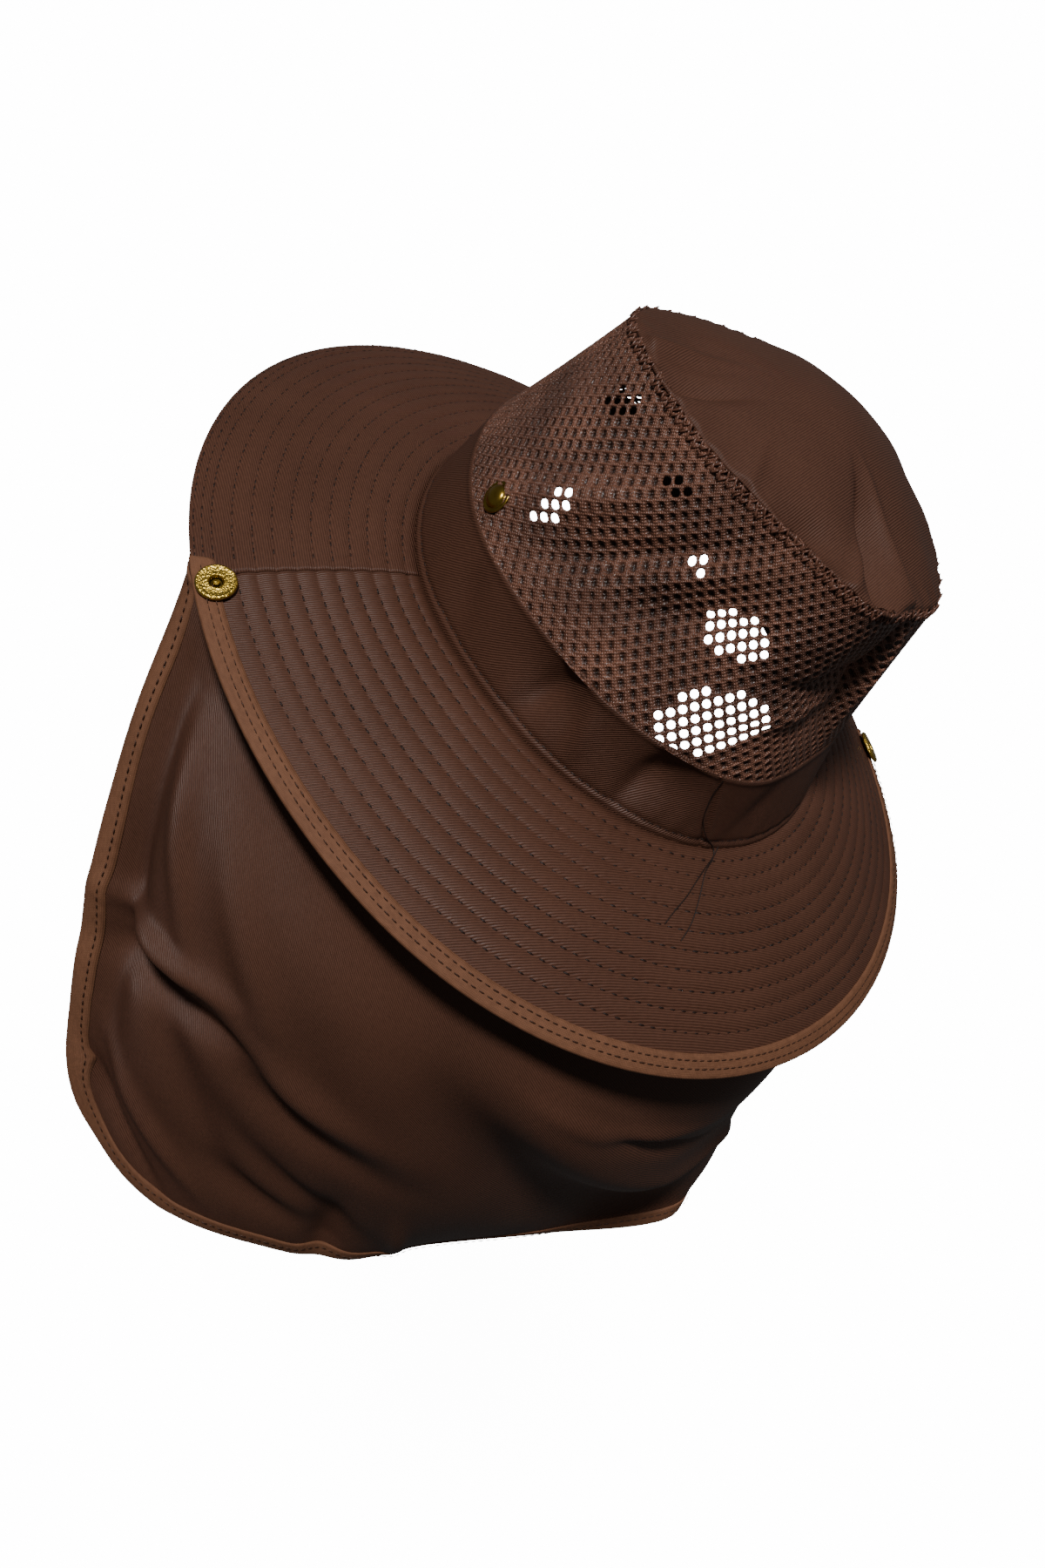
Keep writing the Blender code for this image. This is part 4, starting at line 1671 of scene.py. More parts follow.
@dataclass
class Crown:
    """The band, the net wall and the top."""

    shape: HatShape
    finishes: Finishes
    sewer: StitchSewer
    band_thick: float = 0.0016
    top_thick: float = 0.0014
    columns: int = 330
    net_columns: int = 96
    net_rows: int = 26
    net_thick: float = 0.0016
    hexagon: float = 0.24
    # Depth of the webs across shut gaps: thin sheets that carry the painted shade.
    web: float = -0.42
    seam_tuck: float = 0.0006
    back_seam_deg: float = 90.0
    wall_radius: float = 0.46
    weave_radius: float = 0.08
    shut_lean: float = -0.75
    lip_shade: float = 0.55
    band_stitch: StitchKind = StitchKind(0.0034, 0.0026, 0.00050, 0.00045)
    edge_loop: StitchKind = StitchKind(0.0017, 0.0040, 0.0009, 0.0008, slant_deg=62, vary=0.25)
    band_size: tuple[float, float] = (0.590, 0.0362)
    net_size: tuple[float, float] = (0.590, 0.086)
    top_size: tuple[float, float] = (0.150, 0.150)
    top_area: float = 0.0175

    def crease_height(self, panel: Panel, angle: Array, height: Array, tall: float) -> Array:
        """How far a panel's creases push it outward.

        Args:
            panel: The crown panel.
            angle: Degrees round the head.
            height: Share up the panel.
            tall: The panel's height in metres.

        Returns:
            The push in metres.
        """
        rise = np.zeros(np.broadcast(angle, height).shape)
        for crease in CREASES:
            if crease.panel is panel:
                side = self.round_way(angle, crease.angle_deg)
                along, beside = leaned(side, (height - crease.height) * tall, crease.lean_deg)
                rise = rise + crease.rise * bell(along, crease.length) * bell(beside, crease.width)
        return rise

    def round_way(self, angle: Array, other: float) -> Array:
        """Metres round the crown's wall from one angle to another."""
        return np.radians(turn_between(angle, other)) * self.shape.head_width * self.wall_radius

    def band_surface(self, angle: Array, rise: Array) -> Array:
        """The band's outer face with its creases and topstitching.

        Args:
            angle: Degrees round the head.
            rise: Metres up from the foot.

        Returns:
            The points.
        """
        base = self.shape.band_point(angle, rise)
        outward = normals(self.shape.band_point, angle, rise, (0.3, 0.0006))
        height = self.crease_height(Panel.BAND, angle, rise / self.shape.band_height, self.shape.band_height)
        height = height - 0.00045 * bell(rise - 0.0032, 0.0008) + 0.0003 * bell(rise - 0.0016, 0.0010)
        height = height + 0.0004 * bell(rise - self.shape.band_height + 0.0012, 0.0011)
        height = height + 0.00016 * np.sin(np.radians(angle) * 57) * bell(rise - 0.006, 0.005)
        return base + outward * height[..., None]

    def band(self) -> Piece:
        """The cloth band round the head.

        Returns:
            The dressed piece.
        """
        foot = [-0.0022, -0.0010, 0.0, 0.0006, 0.0012, 0.0018, 0.0025, 0.0032, 0.0039, 0.0046]
        edge = [0.0322, 0.0328, 0.0333, 0.0337, 0.0340]
        rise = np.concatenate([foot, np.linspace(0.006, 0.0315, 20), edge])[:, None]
        extra = self.back_seam_deg + np.linspace(-14, 14, 113)
        angle = np.unique(np.concatenate([np.arange(self.columns) * 360 / self.columns, extra]))[None, :]
        grid = self.band_surface(*np.broadcast_arrays(angle, rise))
        weave = self.round_weave(np.append(angle, 360.0), rise, 45.0)
        band = cloth_object("crown_band_cloth", grid, weave, grid * (1.0, 1.0, 0.0), wrap=True)
        return settle(thicken(band, self.band_thick, -1.0), self.finishes.twill, "crown_band")

    def round_weave(self, angle: Array, rise: Array, turn_deg: float) -> Array:
        """Weave coordinates round the crown, turned so that the ribs run on the slant.

        Args:
            angle: Degrees round the head.
            rise: Metres up.
            turn_deg: The slant of the ribs.

        Returns:
            Two coordinates in metres for each place.
        """
        far, up = np.broadcast_arrays(np.radians(angle)[None, :] * self.shape.head_width * 0.5, rise)
        turn = math.radians(turn_deg)
        return np.stack(
            [far * math.cos(turn) - up * math.sin(turn), far * math.sin(turn) + up * math.cos(turn)], axis=-1
        )

    def band_stitches(self) -> Piece:
        """Topstitching just above the band's foot.

        Returns:
            The dressed piece.
        """
        angle = np.linspace(0, 360, 720)
        rise = np.full_like(angle, 0.0032)
        lift = normals(self.shape.band_point, angle, rise, (0.3, 0.0006))
        rail = Rail(self.band_surface(angle, rise), lift)
        return self.sewer.sew("crown_band_stitches", [rail], self.band_stitch, self.finishes.thread)

    def top_surface(self, angle: Array, share: Array) -> Array:
        """The top's outer face with the small creases that run in from its seam.

        Args:
            angle: Degrees round the head.
            share: Share in from the seam.

        Returns:
            The points.
        """
        base = self.shape.top_point(angle, share)
        upward = normals(self.shape.top_point, angle, share, (0.5, 0.004))
        turn = np.radians(angle)
        pucker = np.sin(turn * 41 + 1.3 * np.sin(turn * 5)) * (0.6 + 0.4 * np.sin(turn * 3 + 1))
        height = 0.00045 * pucker * bell(share, 0.10) * np.clip(share / 0.02, 0, 1)
        height = height + 0.0006 * np.sin(turn * 9 + 2 * np.sin(turn * 2)) * bell(share - 0.15, 0.14)
        height = height - 0.0008 * bell(share, 0.012)
        across = self.shape.head_width * 0.38
        fade = np.clip(share / 0.03, 0, 1) * np.clip((0.95 - share) / 0.3, 0, 1)
        height = height + self.crease_height(Panel.TOP, angle, share, across) * fade
        return base + upward * height[..., None]

    def top(self) -> Piece:
        """The cloth top of the crown.

        Returns:
            The dressed piece.
        """
        seam = [0.0, 0.005, 0.010, 0.016, 0.024, 0.034, 0.046]
        share = np.concatenate([seam, np.linspace(0.06, 0.985, 58)])[:, None]
        angle = (np.arange(self.columns) * 360 / self.columns)[None, :]
        grid = self.top_surface(*np.broadcast_arrays(angle, share))
        closed = np.concatenate([grid, grid[:, :1]], axis=1)
        side, back = closed[..., 0], closed[..., 1]
        weave = np.stack([back * 0.8 - side * 0.6, side * 0.8 + back * 0.6], axis=-1)
        facing = np.zeros_like(grid) + (0.0, 0.0, 1.0)
        pole = self.shape.top_point(np.array(0.0), np.array(1.0))
        top = cloth_object("crown_top_cloth", grid, weave, facing, wrap=True, pole=pole)
        return settle(thicken(top, self.top_thick, -1.0), self.finishes.twill, "crown_top")

    def net_surface(self, angle: Array, share: Array) -> Array:
        """The net's middle face with its creases.

        Args:
            angle: Degrees round the head.
            share: Share up the panel.

        Returns:
            The points.
        """
        low = -self.seam_tuck / self.shape.net_height
        high = 1 - self.top_thick * 0.6 / self.shape.net_height
        up = low + share * (high - low)
        base = self.shape.net_point(angle, up)
        outward = normals(self.shape.net_point, angle, up, (0.3, 0.004))
        fade = np.sin(np.pi * np.clip(up, 0.0, 1.0)) ** 0.5
        height = self.crease_height(Panel.NET, angle, up, self.shape.net_height) * fade
        height = height + 0.0007 * np.sin(np.radians(angle) * 48) * bell(up - 1.0, 0.06)
        return base + outward * (height - self.net_thick / 2)[..., None]

    def within(self, place: NetPlace, angle: Array, share: Array) -> tuple[Array, Array]:
        """Where a spot lies along and beside a place in the net, 1 at its ends and sides.

        Args:
            place: The place in the net.
            angle: Degrees round the head.
            share: Share up the panel.

        Returns:
            How far along it and how far beside it.
        """
        up = (share - place.height) * self.shape.net_height
        along, beside = leaned(up, self.round_way(angle, place.angle_deg), place.lean_deg)
        return along / place.length, beside / place.width

    def stretched(self, angle: Array, share: Array) -> Array:
        """Whether the net is drawn open at a place.

        Args:
            angle: Degrees round the head.
            share: Share up the panel.

        Returns:
            True where it is open.
        """
        inside = np.zeros(np.shape(angle), bool)
        for place in NET_OPENINGS:
            along, beside = self.within(place, angle, share)
            inside |= along**2 + beside**2 < 1.0
        return inside

    def drawn(self, angle: Array, share: Array) -> Array:
        """How tightly the net is drawn together at a place, from 0 to 1.

        Args:
            angle: Degrees round the head.
            share: Share up the panel.

        Returns:
            The tightness.
        """
        turn = np.radians(angle)
        tight = 0.30 + 0.22 * np.sin(turn * 5 + share * 7) * np.sin(turn * 11 - share * 9)
        for place in NET_GATHERS:
            along, beside = self.within(place, angle, share)
            tight = tight + bell(along, 1.0) * bell(beside, 1.0)
        return np.clip(tight, 0.0, 1.0)

    def net_rings(self, centre_u: Array, centre_v: Array, opened: Array) -> list[tuple[Array, Array, float]]:
        """The rings of yarn round each gap.

        Args:
            centre_u: The gaps' middles round the crown, in gaps.
            centre_v: The gaps' middles up the net, in gaps.
            opened: Whether each gap is open.

        Returns:
            The crest, the slope and the lip in front, and the back: places and a share of the net's wall.
        """
        tip, flat = 1 - self.hexagon, self.hexagon
        corner = np.array([(0, tip), (0.5, flat), (0.5, -flat), (0, -tip), (-0.5, -flat), (-0.5, flat)])
        rim = np.stack([corner, (corner + np.roll(corner, -1, axis=0)) / 2], axis=1).reshape(RIM_POINTS, 2)
        rim_u, rim_v = rim[:, 0], rim[:, 1]
        tight = self.drawn(centre_u / self.net_columns * 360, centre_v / self.net_rows)
        wide = np.where(opened, 0.36, 0.38 - 0.10 * tight)[:, None]
        slim = np.where(opened, 0.36, 0.29 - 0.23 * tight)[:, None]
        lean = np.where(opened, 0.0, self.shut_lean)[:, None]
        turn = np.arctan2(rim_v * 3.6, rim_u * 6.2)
        spoke_u, spoke_v = np.cos(turn - lean) * wide, np.sin(turn - lean) * slim
        hole_u = (spoke_u * np.cos(lean) - spoke_v * np.sin(lean)) * 0.80
        hole_v = (spoke_u * np.sin(lean) + spoke_v * np.cos(lean)) * 1.36
        rings = (
            (rim_u, rim_v, 0.5),
            (rim_u * 0.45 + hole_u * 0.55, rim_v * 0.45 + hole_v * 0.55, 0.4),
            (hole_u, hole_v, 0.0),
            (rim_u, rim_v, -0.5),
        )
        return [
            (centre_u[:, None] + ring_u, np.clip(centre_v[:, None] + ring_v, 0, self.net_rows), height)
            for ring_u, ring_v, height in rings
        ]

    def net_faces(self, opened: Array) -> list[list[int]]:
        """Faces between the rings: walls round every gap, and webs across the shut ones, which carry the
        painted shade.

        Args:
            opened: Whether each gap is open.

        Returns:
            Point numbers of each face.
        """
        size = RIM_POINTS * len(opened)
        first = np.arange(len(opened))[:, None] * RIM_POINTS
        around = np.arange(RIM_POINTS)[None, :]
        after = (around + 1) % RIM_POINTS
        crest, slope, lip, back = (first + size * number for number in range(4))
        cell, shut = np.flatnonzero(opened), np.flatnonzero(~opened)
        faces: list[list[int]] = []
        for inner, outer in ((slope, crest), (lip, slope), (back[cell], lip[cell])):
            quad = np.stack([inner + around, outer + around, outer + after, inner + after], axis=-1)
            faces += quad.reshape(-1, 4).tolist()
        tip = 4 * size + np.arange(len(shut))[:, None] + 0 * around
        front_web = (tip, lip[shut] + around, lip[shut] + after)
        back_web = (tip + len(shut), back[shut] + after, back[shut] + around)
        for fan in (front_web, back_web):
            faces += np.stack(fan, axis=-1).reshape(-1, 3).tolist()
        return faces

    def net(self) -> Piece:
        """The knitted net: one ring of yarn round each gap, open where stretched and drawn shut elsewhere,
        with painted shade on the shut ones.

        Returns:
            The dressed piece.
        """
        columns, rows = self.net_columns, self.net_rows
        column, row = (part.ravel() for part in np.meshgrid(np.arange(columns), np.arange(-1, rows + 1)))
        centre_u, centre_v = column + 0.5 * (row % 2) + 0.5, row + 0.5
        opened = self.stretched(centre_u / columns * 360, centre_v / rows) & (row >= 0) & (row < rows)
        rings = self.net_rings(centre_u, centre_v, opened)
        shut = np.flatnonzero(~opened)
        tips = np.stack([centre_u[shut], np.clip(centre_v[shut], 0, rows)], axis=-1)
        uv = np.concatenate([np.stack(ring[:2], axis=-1).reshape(-1, 2) for ring in rings] + [tips, tips])
        ring_zero, tip_zero = np.zeros(RIM_POINTS * len(opened)), np.zeros(len(shut))
        height = [ring_zero + ring[2] for ring in rings] + [tip_zero + self.web, tip_zero - 0.5]
        # Painted shade: near black on the webs of shut gaps and part of it on their lips, through the gap
        # attribute.
        lip_painted_shade = np.where(opened, 0.0, self.lip_shade).repeat(RIM_POINTS)
        gap = np.concatenate([ring_zero, ring_zero, lip_painted_shade, ring_zero, tip_zero + 1.0, tip_zero])
        surface = self.net_surface(uv[:, 0] / columns * 360, uv[:, 1] / rows)
        outward = normals(self.net_surface, uv[:, 0] / columns * 360, uv[:, 1] / rows, (0.4, 0.004))
        verts = surface + outward * (np.concatenate(height) * self.net_thick)[:, None]
        net = mesh_object("crown_net_knitted", verts, self.net_faces(opened))
        net.data.attributes.new("gap", "FLOAT", "POINT").data.foreach_set("value", gap)
        loops = np.zeros(len(net.data.loops), int)
        net.data.loops.foreach_get("vertex_index", loops)
        metres = uv * (2 * math.pi * self.weave_radius / columns, self.shape.net_height / rows)
        layer = net.data.uv_layers.new(name="weave")
        layer.data.foreach_set("uv", metres[loops].astype(np.float32).ravel())
        weld(net)
        return settle(net, self.finishes.net, "crown_net")

    def net_edge(self) -> Piece:
        """Overlocked loops along the net's upper edge.

        Returns:
            The dressed piece.
        """
        angle = np.linspace(0, 360, 900)
        rails = []
        for share, lift_by in ((0.985, 0.0001), (0.962, 0.0002)):
            place = np.full_like(angle, share)
            lift = normals(self.shape.net_point, angle, np.full_like(angle, 0.95), (0.4, 0.004))
            rails.append(Rail(self.net_surface(angle, place) + lift * (self.net_thick / 2 + lift_by), lift))
        return self.sewer.sew("crown_net_edge_loops", rails, self.edge_loop, self.finishes.net_thread)

    def build(self) -> None:
        """Makes the crown."""
        band, band_rows = self.band(), self.band_stitches()
        top = self.top()
        net, edge = self.net(), self.net_edge()


@dataclass
class NeckFlap:
    """The long flap and the tape folded over its sides and hem."""

    shape: HatShape
    finishes: Finishes
    sewer: StitchSewer
    columns: int = 230
    rows: int = 120
    tape_width: float = 0.0080
    tape_start: float = 0.0030
    tape_ease: float = 0.00035
    side_steps: int = 110
    hem_steps: int = 260
    tape_puff: float = 0.00025
    nose_puff: float = 0.0004
    stitch_row: float = 0.0058
    stitch_rise: float = 0.00018
    tape_stitch: StitchKind = StitchKind(0.0034, 0.0026, 0.00050, 0.00045)
    cut_size: tuple[float, float] = (0.530, 0.225)
    flat_size: tuple[float, float] = (0.550, 0.225)
    flat_area: float = 0.084

    def cloth(self) -> Piece:
        """The flap's cloth.

        Returns:
            The dressed piece.
        """
        across = np.linspace(0, 1, self.columns)[None, :]
        down = np.linspace(0, 1, self.rows)[:, None]
        across, down = self.shape.rounded_share(across, down)
        grid = self.shape.flap_point(across, down)
        far, fall = across * self.cut_size[0], down * self.cut_size[1]
        weave = np.stack([far * 0.6 - fall * 0.8, far * 0.8 + fall * 0.6], axis=-1)
        flap = cloth_object("neck_flap_cloth", grid, weave, self.shape.flap_normal(across, down))
        return settle(thicken(flap, self.shape.flap_thick, 0.0), self.finishes.twill, "neck_flap")

    def edge_path(self) -> tuple[Array, Array]:
        """Flat places down the left side, along the hem and up the right side.

        Returns:
            Shares of the way across and down.
        """
        side = np.linspace(self.tape_start / self.shape.flap_length, 1, self.side_steps)
        hem = np.linspace(0, 1, self.hem_steps)[1:-1]
        across = np.concatenate([np.zeros_like(side), hem, np.ones_like(side)])
        down = np.concatenate([side, np.ones_like(hem), side[::-1]])
        return across, down

    def spine(self, inward: Array) -> tuple[Array, Array, Array]:
        """Cloth places at distances in from the edge, all along the tape.

        Args:
            inward: Metres in from the cloth's edge.

        Returns:
            Points and normals, shape (inward, path, 3), and the way outward at the edge.
        """
        across, down = self.shape.rounded_share(*self.edge_path())
        size = np.array(self.cut_size)
        flat = np.stack([across, down], axis=-1) * size
        path_way = unit(np.gradient(flat, axis=0))
        inner_way = np.stack([path_way[:, 1], -path_way[:, 0]], axis=-1)
        inner = (flat + inner_way * self.tape_width) / size
        gap = self.shape.flap_point(inner[:, 0], inner[:, 1]) - self.shape.flap_point(across, down)
        scale = self.tape_width / np.linalg.norm(gap, axis=-1, keepdims=True)
        placed = (flat + inner_way * scale * inward[:, None, None]) / size
        across, down = placed[..., 0], placed[..., 1]
        return self.shape.flap_point(across, down), self.shape.flap_normal(across, down), unit(-gap)

    def tape(self) -> Piece:
        """Tape folded over the flap's edge.

        Returns:
            The dressed piece.
        """
        stand = self.shape.flap_thick / 2 + self.tape_ease
        inward = np.array([1.0, 0.8, 0.6, 0.4, 0.2, 0.05]) * self.tape_width
        cloth, lift, out = self.spine(inward)
        puff = self.tape_puff * np.sin(np.pi * inward / self.tape_width)[:, None, None]
        front = cloth + lift * (stand + puff)
        back = (cloth - lift * stand)[::-1]
        edge, edge_lift, _ = self.spine(np.array([0.0]))
        bulge = self.tape_ease + self.nose_puff
        line, rise = edge[0], edge_lift[0]
        nose = [
            line + rise * (stand * math.cos(turn)) + out * (bulge * math.sin(turn)) for turn in EDGE_TURNS
        ]
        grid = np.concatenate([front, np.array(nose), back])
        far = lengths(line)
        wide = np.concatenate([inward, np.zeros(len(nose)), -inward[::-1]])
        weave = np.stack(np.broadcast_arrays(wide[:, None], far[None, :]), axis=-1)
        facing = np.concatenate([lift, np.array([rise] * len(nose)), -lift[::-1]])
        tape = cloth_object("flap_tape", grid, weave, facing)
        return settle(thicken(tape, self.shape.tape_thick, 1.0), self.finishes.tape, "flap_binding")

    def tape_stitches(self) -> Piece:
        """A row of stitches on each face of the tape.

        Returns:
            The dressed piece.
        """
        cloth, lift, _ = self.spine(np.array([self.stitch_row]))
        stand = self.shape.flap_thick / 2 + self.tape_ease + self.shape.tape_thick + self.stitch_rise
        front = Rail(cloth[0] + lift[0] * stand, lift[0])
        back = Rail(cloth[0] - lift[0] * (stand - 0.0001), -lift[0])
        rails, thread = [front, back], self.finishes.tape_thread
        return self.sewer.sew("flap_tape_stitches", rails, self.tape_stitch, thread)

    def build(self) -> None:
        """Makes the flap."""
        flap, extra = self.cloth(), [self.tape(), self.tape_stitches()]


@dataclass
class Snaps:
    """Ring snaps on the brim and domed studs on the net, one of each at either side."""

    shape: HatShape
    finishes: Finishes
    inset: float = 0.0070
    behind_seam: float = 0.0052
    ring_radius: float = 0.0074
    hole_radius: float = 0.0027
    ring_thick: float = 0.0013
    well_depth: float = 0.0008
    post_radius: float = 0.0019
    barrel_radius: float = 0.0024
    socket_radius: float = 0.0036
    socket_height: float = 0.0028
    stud_radius: float = 0.0062
    stud_rise: float = 0.0036
    dome_foot: float = 0.0013
    plate_radius: float = 0.0040
    plate_thick: float = 0.0010
    stud_stand: float = 0.0006
    stud_above_band: float = 0.0085
    steps: int = 64

    def ring_profile(self, low: float, high: float, under: float) -> Profile:
        """Half profile of the ring, its sunk post, its barrel and its socket.

        Args:
            low: Height of the ring's underside.
            high: Height of the ring's top.
            under: Height of the brim's underside, where the socket starts.

        Returns:
            Radius and height pairs from the axis above round to the axis below.
        """
        post, hole, ring = self.post_radius, self.hole_radius, self.ring_radius
        well, bore = low - self.well_depth, self.barrel_radius - 0.0002
        socket, foot = self.socket_radius, under - self.socket_height
        return [
            (0.0, high - 0.0005),
            (post * 0.35, high - 0.00055),
            (post * 0.58, high - 0.0009),
            (post * 0.62, high - 0.0014),
            (post * 0.62, well),
            (bore, well),
            (bore, low + 0.0002),
            (hole - 0.0001, high - 0.0003),
            (hole, high - 0.00005),
            (hole + 0.0003, high + 0.00012),
            (hole + 0.0006, high + 0.00002),
            (ring * 0.66, high + 0.00002),
            (ring - 0.0014, high - 0.00002),
            (ring - 0.0011, high + 0.00015),
            (ring - 0.0006, high + 0.00015),
            (ring - 0.0002, high - 0.0002),
            (ring, high - 0.0007),
            (ring - 0.0001, low + 0.0001),
            (ring - 0.0004, low),
            (self.barrel_radius, low),
            (self.barrel_radius, under),
            (socket - 0.0003, under),
            (socket, under - 0.0003),
            (socket, foot + 0.0005),
            (socket - 0.0005, foot),
            (0.0, foot),
        ]

    def ring(self, side: HatSide) -> Piece:
        """A stamped ring with a sunk post, its barrel through the brim and its socket beneath, with painted
        shade in its sunk well.

        Args:
            side: The side of the hat.

        Returns:
            The dressed piece.
        """
        radius = self.shape.head_width / 2 + self.shape.brim_reach - self.inset
        turn = math.degrees(self.behind_seam / radius)
        angle = np.array(turn if side is HatSide.LEFT else 180 - turn)
        out = self.shape.cloth_edge(angle) - self.inset
        outward, up = self.shape.brim_axes(angle, out)
        frame = set_frame(self.shape.brim_point(angle, out), up, outward)
        low = 2 * self.shape.touch_gap + self.shape.tape_thick
        high = low + self.ring_thick
        under = -self.shape.brim_thick - 2 * self.shape.touch_gap - self.shape.tape_thick
        profile = self.ring_profile(low, high, under)
        node = "brim_snap_" + side.name.lower()
        ring = lathe_object(node + "_ring", profile, frame, self.steps)
        settle(ring, self.finishes.ring_brass, node).data.materials.append(self.finishes.well_painted_shade_brass.material)
        # Faces inside the sunk well take the darker brass as painted shade.
        inner = frame.inverted()
        for face in ring.data.polygons:
            spot = inner @ face.center
            sunk = low - self.well_depth - 0.0001 < spot.z < high - 0.0008
            if math.hypot(spot.x, spot.y) < self.barrel_radius and sunk:
                face.material_index = 1
        return ring

    def stud_frame(self, side: HatSide) -> Matrix:
        """Where a stud sits on the net's lowest gap, Z out of the net.

        Args:
            side: The side of the hat.

        Returns:
            The frame.
        """
        left = side.value / 360
        right = left + 1 / self.shape.lattice_columns
        row = 1 / self.shape.lattice_rows
        low = (self.shape.lattice_place(left, 0) + self.shape.lattice_place(right, 0)) / 2
        high = (self.shape.lattice_place(left, row) + self.shape.lattice_place(right, row)) / 2
        along = self.shape.lattice_place(right, 0) - self.shape.lattice_place(left, 0)
        upward = unit(high - low)
        rise = self.stud_above_band / (self.shape.net_height * row)
        return set_frame(low + (high - low) * rise, unit(np.cross(along, upward)), upward)

    def stud(self, side: HatSide) -> Piece:
        """A domed stud with a rolled rim, its post through the net and its plate inside.

        Args:
            side: The side of the hat.

        Returns:
            The dressed piece.
        """
        radius, stand, post, plate = self.stud_radius, self.stud_stand, self.post_radius, self.plate_radius
        dome = self.stud_rise - self.dome_foot
        back = -self.shape.net_strand - self.shape.touch_gap - stand
        profile = [(0.0, self.stud_rise)]
        for step in range(1, 9):
            turn = step / 9 * math.pi / 2
            profile.append((radius * 0.70 * math.sin(turn), self.dome_foot + dome * math.cos(turn)))
        rim = ((0.72, 0.0013), (0.78, 0.0012), (0.88, 0.0016), (0.96, 0.0014), (1.0, 0.0010))
        profile += [(radius * share, height) for share, height in rim]
        profile += [(radius * 0.97, stand + 0.0001), (radius * 0.90, stand), (post, stand), (post, back)]
        profile += [(plate, back), (plate, back - self.plate_thick), (0.0, back - self.plate_thick)]
        node = "crown_stud_" + side.name.lower()
        stud = lathe_object(node + "_dome", profile, self.stud_frame(side), self.steps)
        return settle(stud, self.finishes.stud_brass, node)

    def build(self) -> None:
        """Makes both sides."""
        for side in HatSide:
            self.ring(side)
            self.stud(side)


class ThreadStop(NamedTuple):
    """A place that a loose thread passes: angle, and metres out on the brim (negative is up the band)."""

    angle_deg: float
    out: float
    lift: float


LOOSE_THREADS = (
    (
        ThreadStop(85.0, -0.0325, 0.0004),
        ThreadStop(86.0, -0.0240, 0.0006),
        ThreadStop(88.5, -0.0135, 0.0009),
        ThreadStop(93.0, -0.0060, 0.0006),
        ThreadStop(97.5, -0.0012, 0.0006),
        ThreadStop(97.0, 0.0045, 0.0005),
        ThreadStop(94.0, 0.0105, 0.0007),
        ThreadStop(92.0, 0.0205, 0.0005),
        ThreadStop(90.0, 0.0300, 0.0007),
        ThreadStop(88.0, 0.0370, 0.0004),
    ),
    (
        ThreadStop(99.0, -0.0015, 0.0005),
        ThreadStop(97.0, 0.0040, 0.0007),
        ThreadStop(92.5, 0.0120, 0.0006),
        ThreadStop(89.0, 0.0205, 0.0006),
        ThreadStop(86.5, 0.0265, 0.0005),
        ThreadStop(84.5, 0.0325, 0.0004),
    ),
)


@dataclass
class LooseThreads:
    """Ends of thread left hanging over the brim from the band's back seam."""

    shape: HatShape
    finishes: Finishes
    diameter: float = 0.00040

    def place(self, stop: ThreadStop) -> Array:
        """A stop's point on the band or the brim.

        Args:
            stop: The stop.

        Returns:
            The point.
        """
        angle = np.array(float(stop.angle_deg))
        if stop.out < 0:
            lift = normals(self.shape.band_point, angle, np.array(-stop.out), (0.3, 0.0006))
            return self.shape.band_point(angle, np.array(-stop.out)) + lift * stop.lift
        out = np.array(stop.out)
        _, up = self.shape.brim_axes(angle, out)
        return self.shape.brim_point(angle, out) + up * stop.lift

    def thread(self, name: str, stops: Sequence[ThreadStop]) -> Piece:
        """One thread through its stops, as a fine smooth tube.

        Args:
            name: The piece's name.
            stops: The places that it passes.

        Returns:
            The dressed piece.
        """
        marks = np.array([self.place(stop) for stop in stops])
        line = []
        for number in range(len(marks) - 1):
            around = [marks[min(max(number + step, 0), len(marks) - 1)] for step in (-1, 0, 1, 2)]
            line += [smooth_between(*around, share) for share in np.linspace(0, 1, 7)[:-1]]
        line.append(marks[-1])
        curve = bpy.data.curves.new(name, "CURVE")
        curve.dimensions = "3D"
        curve.bevel_depth = self.diameter / 2
        curve.bevel_resolution = 1
        curve.use_fill_caps = True
        spline = curve.splines.new("POLY")
        spline.points.add(len(line) - 1)
        for point, place in zip(spline.points, line):
            point.co = (*place, 1.0)
        obj = settle(linked(name, curve), self.finishes.thread)
        return obj

    def build(self) -> None:
        """Makes the two threads."""
        for number, stops in enumerate(LOOSE_THREADS, start=1):
            self.thread(f"loose_thread_{number}", stops)


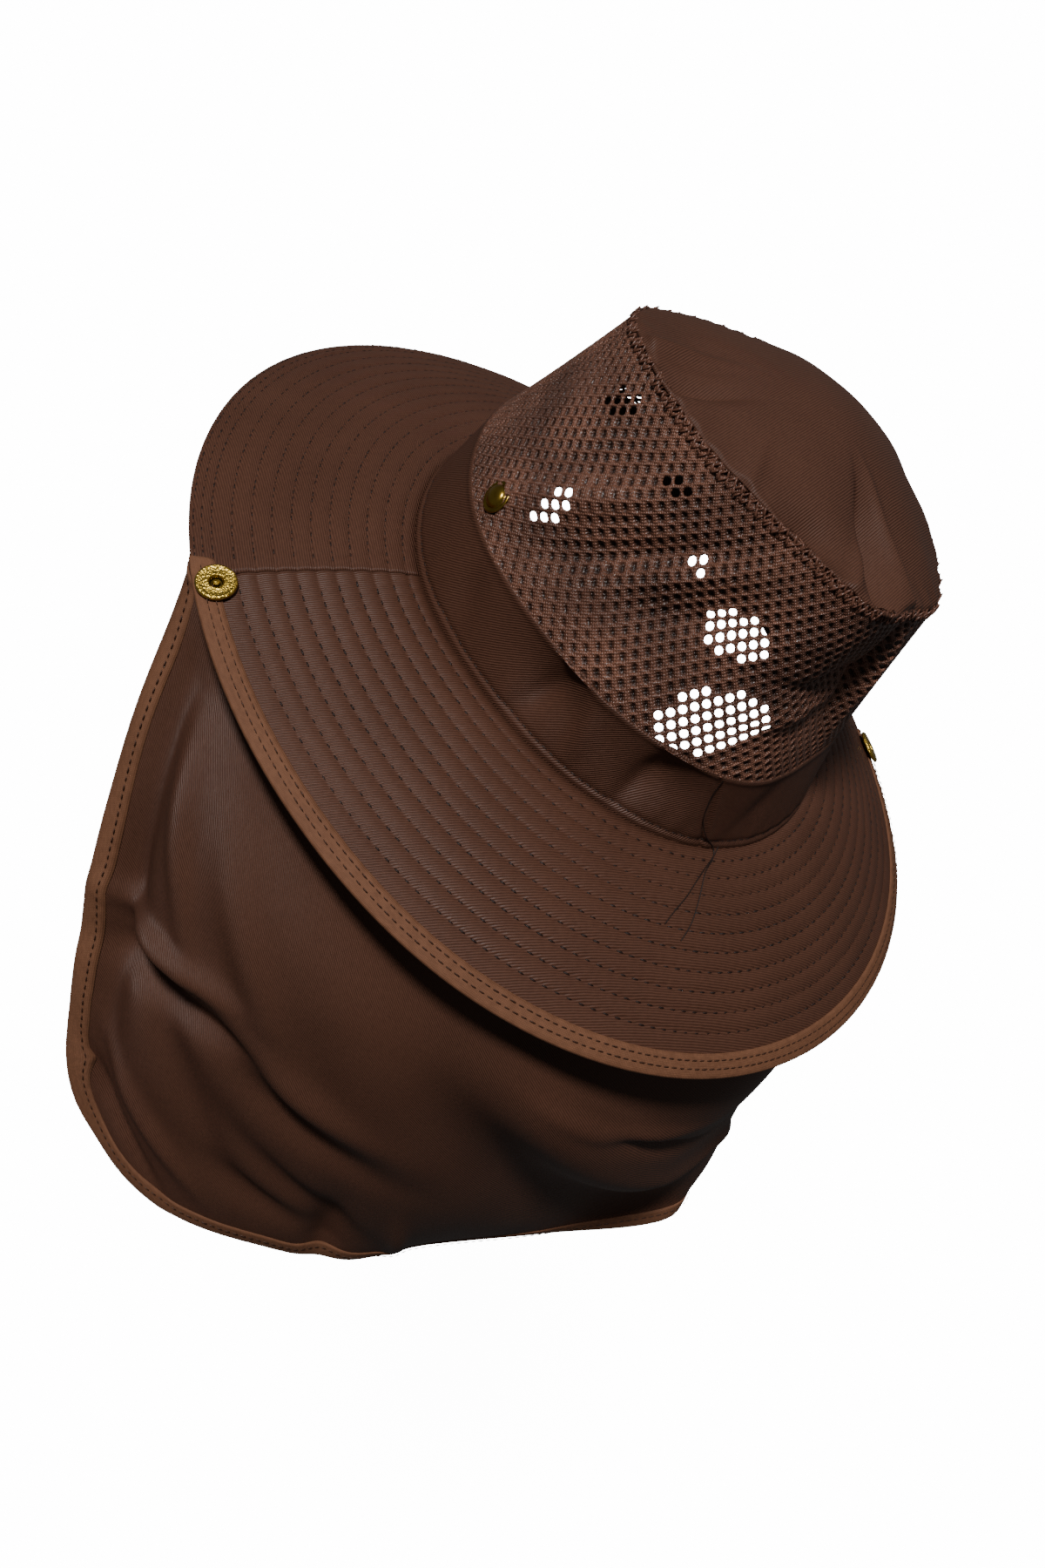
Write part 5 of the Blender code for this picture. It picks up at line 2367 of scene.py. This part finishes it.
@dataclass(frozen=True)
class Studio:
    """Plain pale floor, soft light and the photograph's camera."""

    azimuth_deg: float = 134.7
    elevation_deg: float = 33.7
    roll_deg: float = 45.3
    focal_px: float = 1914.0
    image_height_px: float = 1800.0
    distance: float = 0.650
    aim_right: float = -0.0394
    aim_up: float = -0.060
    floor_drop: float = 1.6
    floor_reach: float = 60.0
    key_towards: tuple[float, float, float] = (0.54, 0.14, 0.83)
    key_spread_deg: float = 8.0
    key_strength: float = 4.5
    fill_towards: tuple[float, float, float] = (-0.30, -0.20, 0.93)
    fill_aim: tuple[float, float, float] = (0.0, 0.03, -0.03)
    fill_size: float = 0.8
    fill_watts: float = 1.8
    fill_away: float = 1.3
    sensor_mm: float = 36.0
    white: tuple[float, float, float, float] = (1.0, 1.0, 1.0, 1.0)
    room_strength: float = 0.10
    floor_glow: float = 14.0

    def axes(self, back: Vector) -> tuple[Vector, Vector]:
        """The rolled right and up of a camera that looks along -back.

        Args:
            back: Unit vector from what is seen to the camera.

        Returns:
            Right and up.
        """
        level = Vector((0.0, 0.0, 1.0)).cross(back).normalized()
        rise = back.cross(level)
        turn = math.radians(self.roll_deg)
        return math.cos(turn) * level + math.sin(turn) * rise, -math.sin(turn) * level + math.cos(turn) * rise

    def camera(self) -> None:
        """Sets the camera."""
        turn, tilt = math.radians(self.azimuth_deg), math.radians(self.elevation_deg)
        back = Vector((math.sin(turn) * math.cos(tilt), -math.cos(turn) * math.cos(tilt), math.sin(tilt)))
        right, up = self.axes(back)
        eye = back * self.distance
        away = (eye - right * self.aim_right - up * self.aim_up).normalized()
        right, up = self.axes(away)
        data = bpy.data.cameras.new("photo_camera")
        data.sensor_width = self.sensor_mm
        data.sensor_fit = "AUTO"
        data.lens = self.focal_px * self.sensor_mm / self.image_height_px
        data.clip_start = 0.01
        camera = linked("photo_camera", data)
        frame = Matrix((right, up, away)).transposed().to_4x4()
        frame.translation = eye
        camera.matrix_world = frame
        bpy.context.scene.camera = camera

    def key_light(self) -> None:
        """An even light from far off, softened by its spread."""
        data = bpy.data.lights.new("key_light", "SUN")
        data.energy = self.key_strength
        data.angle = math.radians(self.key_spread_deg)
        turn = Vector(self.key_towards).to_track_quat("Z", "Y")
        linked("key_light", data).rotation_euler = turn.to_euler()

    def fill_light(self) -> None:
        """A soft square light that looks at the hat from the other side."""
        data = bpy.data.lights.new("fill_light", "AREA")
        data.shape = "SQUARE"
        data.size = self.fill_size
        data.energy = self.fill_watts
        lamp = linked("fill_light", data)
        spot = Vector(self.fill_towards).normalized()
        lamp.location = spot * self.fill_away + Vector(self.fill_aim)
        lamp.rotation_euler = spot.to_track_quat("Z", "Y").to_euler()

    def floor(self) -> None:
        """A plain pale floor."""
        reach = self.floor_reach
        corners = np.array([(-reach, -reach), (reach, -reach), (reach, reach), (-reach, reach)])
        verts = np.concatenate([corners, np.full((4, 1), -self.floor_drop)], axis=1)
        floor = mesh_object("floor", verts, [[0, 1, 2, 3]])
        tree = ShaderTree("pale_floor")
        floor.data.materials.append(tree.finish((0.92, 0.92, 0.92), 0.9))
        tree.shader.inputs["Emission Color"].default_value = self.white
        tree.shader.inputs["Emission Strength"].default_value = self.floor_glow
        floor.visible_diffuse = floor.visible_glossy = False

    def build(self) -> None:
        """Sets camera, light and floor."""
        self.camera()
        self.floor()
        self.key_light()
        self.fill_light()
        world = bpy.data.worlds.new("pale_room")
        world.use_nodes = True
        background = world.node_tree.nodes["Background"]
        background.inputs["Color"].default_value = self.white
        background.inputs["Strength"].default_value = self.room_strength
        bpy.context.scene.world = world


def main() -> None:
    """Builds the dressed hat piece by piece."""
    logging.basicConfig(level=logging.INFO, format="%(message)s")
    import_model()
    shape = HatShape()
    finishes = Finishes()
    sewer = StitchSewer()
    Studio().build()
    Brim(shape, finishes, sewer).build()
    Crown(shape, finishes, sewer).build()
    NeckFlap(shape, finishes, sewer).build()
    Snaps(shape, finishes).build()
    LooseThreads(shape, finishes).build()


if __name__ == "__main__":
    main()
